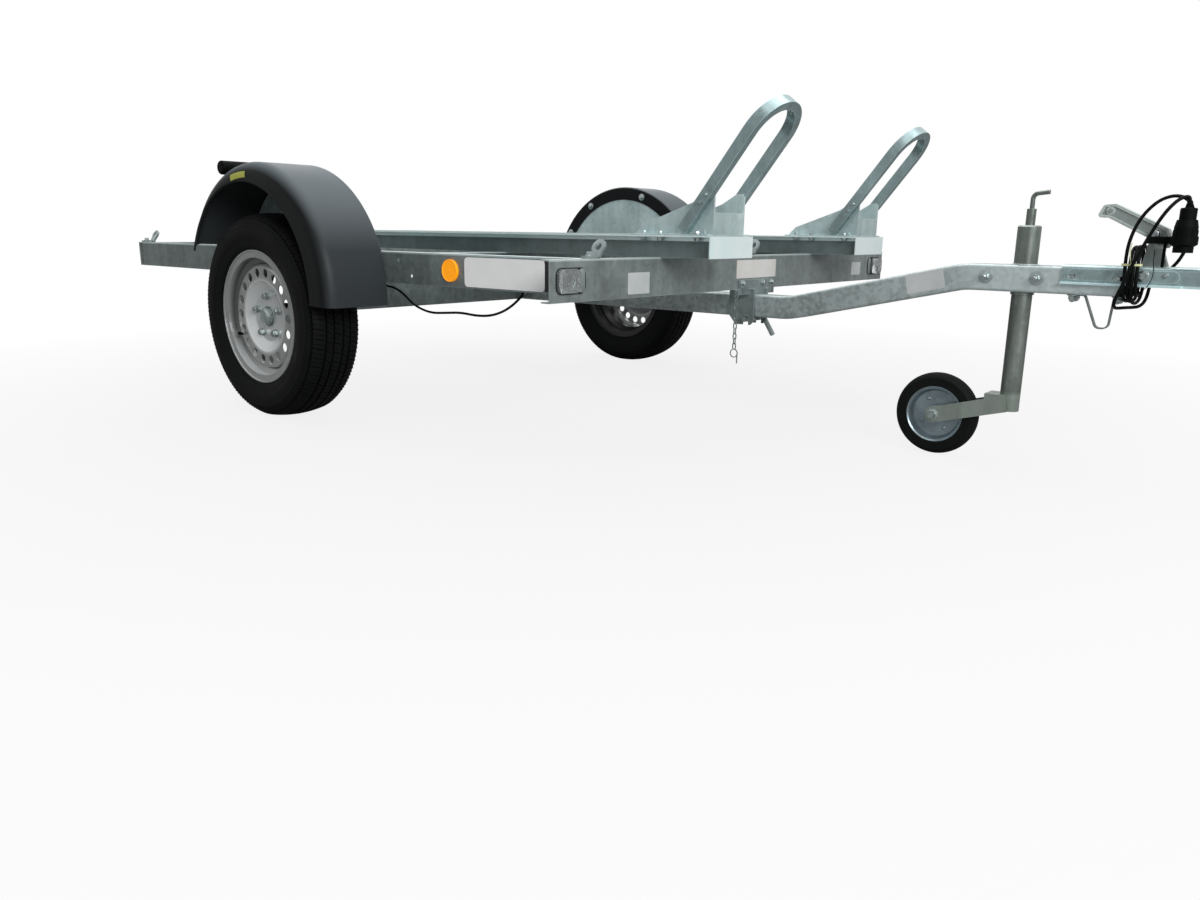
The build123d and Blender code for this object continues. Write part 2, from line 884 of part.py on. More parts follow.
def parking_socket():
    """Cup for the plug, on an arm from the lever's pivot and a post from the head."""
    top = plug_top - plug_cap_h - plug_h
    low = top - socket_h
    head_top = bar_high_z + bar_half + head_t
    bore = spigot_r + spigot_play
    # Radius, Z
    section = [
        (bore, top),
        (socket_r, top),
        (socket_r, top - socket_h / 2),
        (socket_r - 6, top - socket_h / 2 - 4),
        (socket_r - 6, low),
        (0, low),
        (0, low + 4),
        (bore, low + 4),
    ]
    cup = revolve(Plane.XZ * make_face(Polyline(*section, close=True)), Axis.Z)
    cup = Pos(plug_x, plug_y, 0) * cup
    x, z = lever_pivot
    near = -lever_half - 0.3
    arm = slab(Pos(x, z) * Circle(11), near - socket_arm_t, near)
    arm_z = top - socket_h / 2 + 1
    arm += box(x - 6, plug_x - bore - 3, plug_y + 12, near, arm_z, arm_z + 14)
    arm += box(x - 6, x + 6, near - socket_arm_t, near, arm_z, z)
    post_x, post_y = x + socket_post_ahead, near - 8
    arm += rod((post_x, post_y, head_top), (post_x, post_y, arm_z + 2), socket_post_r)
    return cup + arm


def bar_end_cap():
    """Plastic cap in the bar's front end, which the cable comes out of."""
    inner = bar_half - bar_t - 0.2
    stopper = box(
        bar_front - 14, bar_front, -inner, inner, bar_high_z - inner, bar_high_z + inner
    )
    rim = bar_half - 1
    return stopper + box(
        bar_front, bar_front + end_cap_t, -rim, rim, bar_high_z - rim, bar_high_z + rim
    )


def skid_strap():
    """Bent flat strap bolted under the bar."""
    z = bar_high_z - bar_half - strap_t / 2
    way = FilletPolyline(
        (strap_rear - 34, 0, z),
        (strap_rear, 0, z),
        (strap_rear + 28, 0, strap_low),
        (strap_front - 5, 0, strap_low),
        (strap_front, 0, z),
        (bar_front, 0, z),
        radius=[6, 12, 12, 3],
    )
    start = Plane(origin=(strap_rear - 34, 0, z), x_dir=(0, 1, 0), z_dir=(1, 0, 0))
    return sweep(start * Rectangle(strap_w, strap_t), path=way)


parts["plug"] = plug()
parts["cable_fittings"] = Compound(children=[parking_socket(), bar_end_cap()])
parts["skid_strap"] = skid_strap()


# Cords: straight runs joined by tangent arcs, each as large as its two runs allow
def cord_tube(name, points, diameter):
    spots = [Vector(*p) for p in points]
    radii = []
    length = 0
    for i in range(1, len(spots)):
        length += (spots[i] - spots[i - 1]).length
    for before, here, after in zip(spots, spots[1:], spots[2:]):
        first, second = here - before, after - here
        turn = radians(first.get_angle(second))
        radii.append(0.45 * min(first.length, second.length) / tan(turn / 2))
    way = FilletPolyline(*spots, radius=radii)
    tube = sweep(Plane(origin=spots[0], z_dir=spots[1] - spots[0]) * Circle(diameter / 2), path=way)
    expected = pi * diameter**2 / 4 * way.length
    print(
        f"{name}: {way.length:.0f} mm, runs {length:.0f} mm, least radius {min(radii):.0f} mm,",
        f"volume over section times length {tube.volume / expected:.4f}",
    )
    return tube


def coil():
    """The coil's outer shape: a round-cornered ring about the coupling, in a Y Z plane."""
    low, high = coil_z
    r = coil_corner_r
    way = Plane(origin=(coil_x, 0, (low + high) / 2), x_dir=(0, 1, 0), z_dir=(1, 0, 0))
    ring = Part()
    side_z, side_y_mid = (high - low) / 2 - r, coil_half - r
    for sy in (-1, 1):
        for sz in (-1, 1):
            tube = Pos(r, 0) * Circle(coil_r)
            bend = revolve(Plane.XZ * tube, Axis.Z, 90)
            turn = {(1, 1): 0, (-1, 1): 90, (-1, -1): 180, (1, -1): 270}[(sy, sz)]
            ring += way * Pos(sy * side_y_mid, sz * side_z, 0) * Rot(0, 0, turn) * bend
        ring += rod(
            (coil_x, sy * coil_half, (low + high) / 2 - side_z),
            (coil_x, sy * coil_half, (low + high) / 2 + side_z),
            coil_r,
        )
    for z in (low, high):
        ring += rod((coil_x, -side_y_mid, z), (coil_x, side_y_mid, z), coil_r)
    return ring


# From the bar's end cap to the coil
cable_start = [
    (bar_front + end_cap_t, -8, 422),
    (1967, -8, 422),
    (1976, -12, 413),
    (1976, -12, 400.4),
]
# From the coil's far side, up behind the plug, over to the near side and back to the coil
cable_loop = [
    (1985.4, 55, 443),
    (2003, 55, 443),
    (2022, 54, 455),
    (2041, 44, 480),
    (2054, 25, 512),
    (2060, 3, 547),
    (2061, -19, 580),
    (2052, -36, 600),
    (2033, -46, 608),
    (2010, -52, 602),
    (1992, -56, 585),
    (1978, -58, 562),
    (1969, -60, 536),
    (1963, -61, 508),
    (1960, -61, 481),
    (1962.8, -56, 456),
    (1962.8, -56, 440),
]
# From under the coil, round the bar's side and up to the plug
cable_end = [
    (1962.8, -4, 391),
    (1962.8, -17, 391),
    (1956, -35, 383),
    (1951, -52, 381),
    (1950, -66, 388),
    (1956, -73, 404),
    (1963, -74, 428),
    (1972, -74, 458),
    (1984, -73, 490),
    (1997, -72, 524),
    (2010, -71, 555),
    (2024, -68, 581),
    (2039, -61, 597),
    (plug_x, plug_y, 607),
    (plug_x, plug_y, plug_top + 0.2),
]
lamp_cable = [
    (330, -692, 386),
    (330, -692, 379),
    (340, -692, 374),
    (364, -690, 373),
    (400, -688, 359),
    (432, -688, 337),
    (470, -690, 323),
    (520, -693, 315),
    (575, -692, 319),
    (628, -690, 323),
    (684, -692, 319),
    (736, -693, 322),
    (778, -692, 334),
    (812, -691, 352),
    (836, -692, 370),
    (846, -692, 377),
    (846, -692, 386),
]
runs = {"start": cable_start, "loop": cable_loop, "end": cable_end}
parts["cable_run"] = Compound(
    children=[cord_tube(f"cable {part}", points, cable_d) for part, points in runs.items()]
)
parts["cable_coil"] = coil()
parts["lamp_cable"] = cord_tube("lamp cable", lamp_cable, lamp_cable_d)


# Jockey stand: a sleeve through the drawbar, a sliding column with a fork, and a wheel
def jockey_sleeve():
    low = bar_high_z - bar_half - 6
    sleeve = rod((jockey_x, 0, low), (jockey_x, 0, sleeve_top), sleeve_r - 0.2)
    sleeve = chamfer(sleeve.edges().group_by(Axis.Z)[-1], sleeve_bevel)
    sleeve -= rod((jockey_x, 0, low - 1), (jockey_x, 0, sleeve_top - 5), sleeve_in_r)
    neck_top = sleeve_top + crank_neck
    sleeve += rod((jockey_x, 0, sleeve_top), (jockey_x, 0, neck_top), crank_neck_r)
    way = FilletPolyline(
        (jockey_x, 0, neck_top - 2),
        (jockey_x, 0, neck_top + crank_rise),
        (jockey_x + crank_reach, 0, neck_top + crank_rise + 4),
        radius=crank_bend_r,
    )
    start = Plane(origin=(jockey_x, 0, neck_top - 2), z_dir=(0, 0, 1))
    return sleeve + sweep(start * Circle(crank_r), path=way)


def jockey_column():
    column = rod((jockey_x, 0, column_low), (jockey_x, 0, column_top), column_r)
    column -= rod((jockey_x, 0, column_low + 6), (jockey_x, 0, column_top + 1), column_in_r)
    z_column = column_low + fork_h / 2
    dx, dz = jockey_x - stand_x, z_column - stand_wheel_r
    tilt = degrees(atan2(dz, dx))
    bar = Pos(stand_x + dx / 2, stand_wheel_r + dz / 2) * Rot(0, 0, tilt)
    arm = bar * Rectangle(hypot(dx, dz), fork_h) + Pos(stand_x, stand_wheel_r) * Circle(fork_h / 2)
    near = stand_wheel_w / 2 + fork_gap
    fork = slab(arm, near, near + fork_t) + slab(arm, -near - fork_t, -near)
    bridge = box(
        stand_x + stand_wheel_r + 15, jockey_x, -near, near, column_low, column_low + fork_h
    )
    bolt_half = near + fork_t + 6
    bolt = rod(
        (stand_x, -bolt_half, stand_wheel_r), (stand_x, bolt_half, stand_wheel_r), fork_bolt_r
    )
    hollow = rod((jockey_x, 0, column_low + 6), (jockey_x, 0, column_top + 1), column_in_r)
    return column + fork + bolt + (bridge - hollow)


def stand_wheel():
    half = stand_wheel_w / 2
    return turned(
        make_face(
            Polyline(
                (-half + 4, fork_bolt_r + 0.1),
                (-half + 4, 16),
                (-5, 20),
                (-5, stand_disc_r - 12),
                (-half + 3, stand_disc_r - 6),
                (-half + 3, stand_disc_r),
                (half - 3, stand_disc_r),
                (half - 3, stand_disc_r - 6),
                (5, stand_disc_r - 12),
                (5, 20),
                (half - 4, 16),
                (half - 4, fork_bolt_r + 0.1),
                close=True,
            )
        ),
        stand_x,
        0,
        stand_wheel_r,
    )


def stand_tyre():
    half, r = stand_wheel_w / 2, stand_wheel_r
    outline = [
        Line((-half, stand_disc_r), (-half, r - 12)),
        ThreePointArc((-half, r - 12), (0, r), (half, r - 12)),
        Line((half, r - 12), (half, stand_disc_r)),
        Line((half, stand_disc_r), (-half, stand_disc_r)),
    ]
    return turned(make_face(Wire(outline)), stand_x, 0, stand_wheel_r)


parts["jockey_sleeve"] = jockey_sleeve()
parts["jockey_column"] = jockey_column()
parts["jockey_wheel"] = stand_wheel()
parts["jockey_tyre"] = stand_tyre()


# Lamps, reflectors and lashing eyes
def lamps():
    depth, width, height = lamp_size
    z_mid = frame_top - cross_h / 2
    y_high = -cross_half + lamp_inset + width
    lamp = box(
        bed_front,
        bed_front + depth,
        y_high - width,
        y_high,
        z_mid - height / 2,
        z_mid + height / 2,
    )
    return both(lamp)


def rear_lamps():
    depth, width, height = rear_lamp_size
    z_mid = frame_top - side_h / 2
    lamp = box(
        bed_rear - depth,
        bed_rear,
        -rear_lamp_y - width / 2,
        -rear_lamp_y + width / 2,
        z_mid - height / 2,
        z_mid + height / 2,
    )
    return both(lamp)


def reflectors():
    z_mid = frame_top - side_h / 2
    disc = rod((reflector_x, -side_y, z_mid), (reflector_x, -side_y - 6, z_mid), reflector_r)
    return both(disc)


def lashing_eye(x, y, inward):
    """Eye plate on a bolted foot: the eye leans to the middle, its foot points outward."""
    lean = radians(eye_lean)
    bend_y = y - inward * eye_rise * sin(lean)
    z_low = frame_top
    middle = z_low + eye_t / 2
    eye = Pos(0, eye_rise) * Circle(eye_r) + Pos(0, eye_rise / 2) * Rectangle(2 * eye_r - 8, eye_rise)
    eye -= Pos(0, eye_rise) * Circle(eye_hole_r)
    normal = (0, -inward * cos(lean), sin(lean))
    plane = Plane(origin=(x, bend_y, middle), x_dir=(inward, 0, 0), z_dir=normal)
    ring = extrude(plane * eye, eye_t / 2, both=True)
    foot_y = sorted((bend_y - inward * eye_foot, bend_y + inward * eye_t / 2))
    foot = box(x - eye_r + 6, x + eye_r - 6, *foot_y, z_low, z_low + eye_t)
    return foot + (ring - box(x - 50, x + 50, y - 80, y + 80, z_low - 50, z_low))


def marker_lamp():
    """Rubber lamp lying across the right fender's rear crown, on its foot."""
    y_low, y_high = marker_y
    barrel = rod((marker_x, y_low, marker_z), (marker_x, y_high, marker_z), marker_r)
    barrel = fillet(barrel.edges(), 6)
    foot = box(
        marker_x - marker_r + 5, marker_x + marker_r - 5, y_low + 20, y_high - 20,
        marker_z - 3 * marker_r, marker_z,
    )
    crown = rod(
        (fender_x, y_low, fender_z), (fender_x, y_high, fender_z), fender_r + marker_seat
    )
    return barrel + (foot - crown)


parts["front_lamps"] = Compound(children=list(lamps().values()))
parts["rear_lamps"] = Compound(children=list(rear_lamps().values()))
parts["side_reflectors"] = Compound(children=list(reflectors().values()))
# X, Y, which way along Y the eye leans
eye_spots = [
    (bed_front - cross_flange / 2, -eye_y, 1),
    (bed_front - cross_flange / 2, 0, 1),
    (bed_front - cross_flange / 2, eye_y, -1),
    (bed_rear + cross_flange / 2, -eye_y, 1),
    (bed_rear + cross_flange / 2, eye_y, -1),
]
parts["lashing_eyes"] = Compound(children=[lashing_eye(*spot) for spot in eye_spots])
parts["fender_lamp"] = marker_lamp()


os.makedirs("parts", exist_ok=True)
for name, piece in parts.items():
    export_step(Pos(-middle_x, 0, 0) * piece, f"parts/{name}.step")
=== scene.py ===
import math

import bmesh
import bpy
from bpy.props import FloatProperty, FloatVectorProperty, IntProperty, PointerProperty
from mathutils import Matrix, Vector, noise


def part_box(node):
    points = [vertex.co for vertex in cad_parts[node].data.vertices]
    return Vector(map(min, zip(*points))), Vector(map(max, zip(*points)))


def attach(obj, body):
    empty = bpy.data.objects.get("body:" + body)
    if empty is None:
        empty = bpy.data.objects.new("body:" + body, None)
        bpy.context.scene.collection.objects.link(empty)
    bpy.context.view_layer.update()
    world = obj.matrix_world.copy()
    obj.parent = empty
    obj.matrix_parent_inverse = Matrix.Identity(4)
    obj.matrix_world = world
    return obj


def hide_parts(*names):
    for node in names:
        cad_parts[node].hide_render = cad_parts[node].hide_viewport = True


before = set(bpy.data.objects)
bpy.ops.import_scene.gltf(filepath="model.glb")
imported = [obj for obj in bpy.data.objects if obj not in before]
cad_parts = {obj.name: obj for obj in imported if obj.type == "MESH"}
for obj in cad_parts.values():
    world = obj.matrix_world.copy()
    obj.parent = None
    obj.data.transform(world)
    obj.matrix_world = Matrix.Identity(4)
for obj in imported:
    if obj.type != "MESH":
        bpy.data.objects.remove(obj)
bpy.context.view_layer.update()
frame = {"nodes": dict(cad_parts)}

bl_info = {
    "name": "Motorcycle Trailer",
    "version": (1, 0, 0),
    "blender": (4, 5, 0),
    "location": "View3D > Sidebar > Trailer",
    "description": "Dresses a two-bike motorcycle trailer: tread, bolts, films, lenses, cables, finishes",
    "category": "Object",
}

# The drawing's X is counted from the road wheels' axis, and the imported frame's from its middle
AXIS_X = -0.5235
NODES = frame["nodes"]
MATERIALS = {}
SIDES = (("right", -1), ("left", 1))
AHEAD, ACROSS, UP, DOWN = (1, 0, 0), (0, 1, 0), (0, 0, 1), (0, 0, -1)
# Road wheels' middle and radius, face of their discs, fenders' centre, wheel rails' middle
WHEEL_Y = 0.81
WHEEL_R = 0.281
DISC_Y = WHEEL_Y + 0.034
FENDER_X, FENDER_Z = 0.02, 0.345
RAIL_Y = 0.375
# Jockey wheel's axis
STAND_X, STAND_Z = 1.585, 0.100


def at(x, y, z):
    """A point counted from the wheels' axis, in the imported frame."""
    return Vector((x + AXIS_X, y, z))


def places(*points):
    return [at(*point) for point in points]


def on_circle(x, y, z, radius, a):
    """A point on an upright circle that looks sideways."""
    return at(x + radius * math.cos(a), y, z + radius * math.sin(a))


def length(name, description, default, low, high):
    return FloatProperty(
        name=name, description=description, default=default, min=low, max=high,
        subtype="DISTANCE", unit="LENGTH",
    )


class TrailerSizes(bpy.types.PropertyGroup):
    """Sizes of the fittings that a user would change."""

    tread_depth: length("Tread Depth", "Depth of the road tyres' grooves", 0.0065, 0.002, 0.009)
    tread_pitches: IntProperty(
        name="Tread Pitches", description="Tread blocks round one tyre", default=66, min=30, max=90,
    )
    groove: length("Groove Width", "Width of the grooves that run round the tyre", 0.0065, 0.003, 0.012)
    bolt_across: length("Bolt Head", "Bolt head across flats", 0.013, 0.008, 0.024)
    plate_thickness: length("Plate Thickness", "Thickness of the blank films", 0.0007, 0.0002, 0.003)
    cable: length("Coupling Cable", "Diameter of the coupling cable", 0.007, 0.005, 0.012)
    lamp_cable: length("Lamp Cable", "Diameter of the lamp cable", 0.006, 0.004, 0.01)


def colour(name, description, default):
    return FloatVectorProperty(
        name=name, description=description, default=default, size=3, min=0, max=1, subtype="COLOR",
    )


class TrailerColours(bpy.types.PropertyGroup):
    """Colours of the finishes."""

    frame: colour("Frame Zinc", "Galvanised cross channels of the bed", (0.25, 0.29, 0.285))
    side: colour("Side Zinc", "Galvanised side channels and axle", (0.19, 0.225, 0.225))
    sheet: colour("Sheet Zinc", "Galvanised sheet of holders and hoops", (0.56, 0.74, 0.76))
    rail: colour("Rail Zinc", "Galvanised sheet of the wheel rails", (0.16, 0.20, 0.20))
    bar: colour("Drawbar Zinc", "Galvanised drawbar", (0.27, 0.31, 0.31))
    plated: colour("Zinc Plating", "Plated coupling and fasteners", (0.42, 0.48, 0.48))
    casting: colour("Casting", "Plated casting of the coupling lever", (0.50, 0.58, 0.56))
    stand: colour("Stand Steel", "Steel of the jockey column", (0.135, 0.155, 0.14))
    rim: colour("Rim Silver", "Paint of the road rims", (0.40, 0.415, 0.415))
    rubber: colour("Rubber", "Tyres", (0.0032, 0.004, 0.0036))
    fender: colour("Fender Plastic", "Plastic of the fenders", (0.0055, 0.0065, 0.007))
    amber: colour("Amber", "Side reflectors", (0.95, 0.33, 0.001))
    red: colour("Red", "Rear lamp lenses", (0.45, 0.008, 0.006))
    label: colour("Label", "Pale labels", (0.62, 0.62, 0.60))


def sizes():
    return bpy.context.scene.trailer_sizes


def colours():
    return bpy.context.scene.trailer_colours


# Materials


def scaled(tint, share):
    """The tint, made paler or darker by that share."""
    return tuple(min(1.0, max(0.0, c * share)) for c in tint)


class Nodes:
    """Shader nodes of one tree; a value that is a socket is linked, any other one is set."""

    def __init__(self, tree):
        self.tree = tree

    def fill(self, node, values):
        for key, value in values.items():
            if isinstance(value, bpy.types.NodeSocket):
                self.tree.links.new(value, node.inputs[key])
            else:
                node.inputs[key].default_value = value

    def add(self, kind, values=None, out=0, **settings):
        """Adds a node and gives its output of that number or name."""
        node = self.tree.nodes.new(kind)
        for key, value in settings.items():
            setattr(node, key, value)
        self.fill(node, values or {})
        return node.outputs[out]

    def compute(self, operation, first, second=0.0):
        return self.add("ShaderNodeMath", {0: first, 1: second}, operation=operation)

    def times(self, first, second):
        return self.compute("MULTIPLY", first, second)

    def plus(self, first, second):
        return self.compute("ADD", first, second)

    def vector(self, operation, values, out=0):
        return self.add("ShaderNodeVectorMath", dict(enumerate(values)), out, operation=operation)

    def part(self, vector, index):
        """One of a vector's three numbers."""
        return self.add("ShaderNodeSeparateXYZ", {"Vector": vector}, index)

    def spread(self, value, low, high, from_low=0.3, from_high=0.7):
        """Maps from_low and from_high to low and high, and goes no further."""
        span = {"From Min": from_low, "From Max": from_high, "To Min": low, "To Max": high}
        return self.add("ShaderNodeMapRange", {"Value": value, **span})

    def blend(self, share, first, second):
        """Mixes two colours, each of them a socket or a tint."""
        pair = [c if isinstance(c, bpy.types.NodeSocket) else (*c, 1) for c in (first, second)]
        return self.add("ShaderNodeMix", {0: share, 6: pair[0], 7: pair[1]}, 2, data_type="RGBA")


class Recipe(Nodes):
    """A material under way and the place that its patterns follow."""

    def __init__(self, name):
        self.material = bpy.data.materials.new(name)
        self.material.use_nodes = True
        super().__init__(self.material.node_tree)
        self.place = self.add("ShaderNodeTexCoord", out="Object")

    def cloud(self, scale, detail=4.0, stretch=(1, 1, 1), rough=0.55):
        """Soft noise, from 0 to 1, that may be stretched along an axis."""
        moved = self.add("ShaderNodeMapping", {"Vector": self.place, "Scale": stretch})
        grain = {"Scale": scale, "Detail": detail, "Roughness": rough}
        return self.add("ShaderNodeTexNoise", {"Vector": moved, **grain})

    def crystals(self, scale):
        """A value from 0 to 1 for each cell of a pattern."""
        cells = self.add("ShaderNodeTexVoronoi", {"Vector": self.place, "Scale": scale}, "Color")
        return self.add("ShaderNodeSeparateColor", {"Color": cells})

    def facing_front(self):
        """From 0 on faces that look sideways to 1 on faces that look ahead."""
        normal = self.add("ShaderNodeNewGeometry", out="Normal")
        return self.spread(self.part(normal, 0), 0.0, 1.0, 0.4, 0.85)

    def facing_up(self, low=0.55, high=0.9):
        """From 0 on a wall to 1 on a top face, by the piece's own normal."""
        normal = self.add("ShaderNodeTexCoord", out="Normal")
        return self.spread(self.part(normal, 2), 0, 1, low, high)

    def beyond(self, axis, low, high):
        """From 0 to 1 between two places along an axis; a bar before its letter counts both ways."""
        along = self.part(self.place, "XYZ".index(axis[-1]))
        if axis[0] == "|":
            along = self.compute("ABSOLUTE", along)
        return self.spread(along, 0, 1, low, high)

    def edges(self):
        """From 0 on a flat face to 1 along an edge."""
        edge_band_width = 0.0022
        soft = self.add("ShaderNodeBevel", {"Radius": edge_band_width}, samples=4)
        plain = self.add("ShaderNodeNewGeometry", out="Normal")
        match = self.vector("DOT_PRODUCT", (soft, plain), "Value")
        return self.spread(match, 1.0, 0.0, 0.82, 0.985)

    def made(self, tinted, rough, bump, others):
        """Fills the shader; bump holds its height, strength and distance."""
        normal = self.add("ShaderNodeBump", dict(zip(("Height", "Strength", "Distance"), bump)))
        values = {"Base Color": tinted, "Roughness": rough, "Normal": normal, **others}
        self.fill(self.tree.nodes["Principled BSDF"], values)
        return self.material


def zinc(name, tint, spangle, blotch, gloss, metallic, crystal, stretch, top, fade=(), edge=2.2):
    """Galvanised steel: crystals, dull clouds and fine runs, with a painted highlight on top faces and a
    painted highlight mixed with wear along edges.

    Each row of fade holds an axis, two places along it and the share that the colour grows by; some rows are
    painted highlights and painted shade.
    """
    m = Recipe(name)
    crystals = m.crystals(crystal)
    clouds = m.cloud(7.0, 8.0, stretch, 0.6)
    runs = m.cloud(26.0, 5.0, (1.0, 1.0, 0.12), 0.6)
    share = m.times(m.spread(crystals, 0, 1, 0, 1), spangle)
    share = m.plus(share, m.times(m.spread(clouds, 0, 1), blotch))
    share = m.plus(share, m.spread(runs, 0.0, 0.25, 0.35, 0.7))
    tinted = m.blend(share, scaled(tint, 0.52), scaled(tint, 1.50))
    grime = m.spread(m.cloud(2.6, 6.0, (1, 1, 1.6), 0.62), 0.0, 0.5, 0.50, 0.74)
    tinted = m.blend(grime, tinted, scaled(tint, 0.5))
    # Bands along an axis, some of them painted highlights and painted shade
    for axis, low, high, growth in fade:
        pale = m.blend(share, scaled(tint, 0.85 * growth), scaled(tint, 1.15 * growth))
        tinted = m.blend(m.beyond(axis, low, high), tinted, pale)
    # Painted highlight: faces that look up grow paler by top
    pale = m.blend(share, scaled(tint, 0.8 * top), scaled(tint, 1.2 * top))
    tinted = m.blend(m.facing_up(), tinted, pale)
    # Painted highlight along edges, broken up by the clouds as wear
    lit_and_worn_edges = m.times(m.edges(), m.spread(clouds, 0.35, 0.9))
    tinted = m.blend(lit_and_worn_edges, tinted, scaled(tint, edge))
    rough = m.plus(m.spread(clouds, gloss - 0.07, gloss + 0.1), m.spread(crystals, -0.03, 0.03, 0, 1))
    height = m.plus(m.times(m.cloud(340.0, 3.0), 0.5), clouds)
    return m.made(tinted, rough, (height, 0.22, 0.0008), {"Metallic": metallic})


def plated(name, tint, gloss=0.26, metallic=0.95):
    """Bright plating with a faint haze and tiny scratches."""
    m = Recipe(name)
    haze = m.cloud(24.0, 6.0)
    tinted = m.blend(m.spread(haze, 0, 1), scaled(tint, 0.74), scaled(tint, 1.22))
    spots = m.spread(m.cloud(120.0, 4.0), 0.0, 0.55, 0.62, 0.78)
    red, green, blue = tint
    tinted = m.blend(spots, tinted, scaled((red, green * 0.9, blue * 0.8), 0.6))
    scratches = m.cloud(60.0, 4.0, (0.4, 6.0, 6.0))
    rough = m.spread(scratches, gloss - 0.06, gloss + 0.14)
    return m.made(tinted, rough, (haze, 0.12, 0.0006), {"Metallic": metallic})


def rim_paint(name, tint):
    """Silver paint: painted highlights in the bowl and on faces that look up, painted shade in the well but
    not on the flange, dark inside.
    """
    # Radii where the bowl and the well begin, distances of the flange and of the disc's back
    bowl_edge, well_edge = (0.100, 0.108), (0.141, 0.147)
    flange, back = (0.8735, 0.860), (0.832, 0.836)
    m = Recipe(name)
    dust = m.cloud(9.0, 6.0)
    tinted = m.blend(m.crystals(900), scaled(tint, 0.86), scaled(tint, 1.14))
    tinted = m.blend(m.spread(dust, 0.0, 0.35, 0.45, 0.75), tinted, scaled(tint, 0.62))
    from_axle = m.vector("ADD", (m.place, (-AXIS_X, 0, -WHEEL_R)))
    radius = m.vector("LENGTH", (m.vector("MULTIPLY", (from_axle, (1, 0, 1))),), "Value")
    # Painted highlight over the bowl
    tinted = m.blend(m.spread(radius, 1.0, 0.0, *bowl_edge), tinted, scaled(tint, 1.7))
    # Painted shade in the well, inboard of the flange
    shaded_well = m.times(m.spread(radius, 0.0, 1.0, *well_edge), m.beyond("|Y", *flange))
    tinted = m.blend(m.times(shaded_well, 0.85), tinted, scaled(tint, 0.22))
    # Painted highlight on faces that look up
    tinted = m.blend(m.facing_up(0.25, 0.9), tinted, scaled(tint, 2.1))
    outer = m.beyond("|Y", *back)
    tinted = m.blend(outer, (0.006, 0.0065, 0.0065), tinted)
    coat = {"Metallic": m.times(outer, 0.5), "Coat Weight": 0.2, "Coat Roughness": 0.25}
    return m.made(tinted, m.spread(dust, 0.23, 0.40), (m.cloud(160.0, 3.0), 0.06, 0.0005), coat)


def moulded(name, tint, gloss, grain, depth, dust, specular=0.3, top=None):
    """Moulded plastic: even grain, faint dust clouds and a little unevenness; with top, painted highlights on
    faces that look ahead and up.
    """
    m = Recipe(name)
    clouds = m.cloud(5.0, 6.0)
    dusty = tuple(c * 0.8 + 0.014 for c in tint)
    tinted = m.blend(m.spread(clouds, 0.0, dust, 0.4, 0.75), tint, dusty)
    if top:
        # Painted highlights: faces that look ahead, then faces that look up by top
        tinted = m.blend(m.facing_front(), tinted, scaled(tint, 5.5))
        tinted = m.blend(m.facing_up(0.35, 1.0), tinted, scaled(tint, top))
    rough = m.spread(clouds, gloss - 0.05, gloss + 0.1)
    height = m.plus(m.cloud(grain, 2.0), m.times(m.cloud(14.0, 3.0), 1.6))
    return m.made(tinted, rough, (height, depth, 0.0005), {"Specular IOR Level": specular})


def tyre_rubber(name, tint):
    """Tyre rubber: nearly black, bloomed in patches, with a fine moulded skin."""
    m = Recipe(name)
    bloom = m.cloud(11.0, 7.0)
    tinted = m.blend(m.spread(bloom, 0.0, 0.6, 0.4, 0.75), tint, tuple(c + 0.004 for c in tint))
    rough = m.spread(bloom, 0.52, 0.74)
    return m.made(tinted, rough, (m.cloud(420.0, 3.0), 0.3, 0.0005), {"Specular IOR Level": 0.1})


def lens(name, tint, clear, gloss, cells, relief, painted_glow=0.0):
    """Lens plastic with a fine pressed pattern behind a smooth face; the last value makes it glow, a painted
    glow, though it is no lit lamp.
    """
    m = Recipe(name)
    pattern = m.add("ShaderNodeTexVoronoi", {"Vector": m.place, "Scale": cells, "Randomness": 0.15})
    share = m.spread(pattern, 0.0, 1.0, 0.0, 0.8)
    tinted = m.blend(share, scaled(tint, 0.88), scaled(tint, 1.08))
    others = {
        "Transmission Weight": clear, "IOR": 1.49, "Coat Weight": 0.15, "Coat Roughness": 0.08,
        "Emission Color": tinted, "Emission Strength": painted_glow,
    }
    return m.made(tinted, gloss, (pattern, relief, 0.0006), others)


def sticker(name, tint, faded):
    """Printed film, blank: slightly yellowed, with faint creases."""
    m = Recipe(name)
    clouds = m.cloud(16.0, 6.0)
    tinted = m.blend(m.spread(clouds, 0, 0.7), tint, faded)
    creases = m.cloud(60.0, 2.0, (1, 0.2, 1))
    return m.made(tinted, m.spread(clouds, 0.35, 0.55), (creases, 0.08, 0.0005), {})


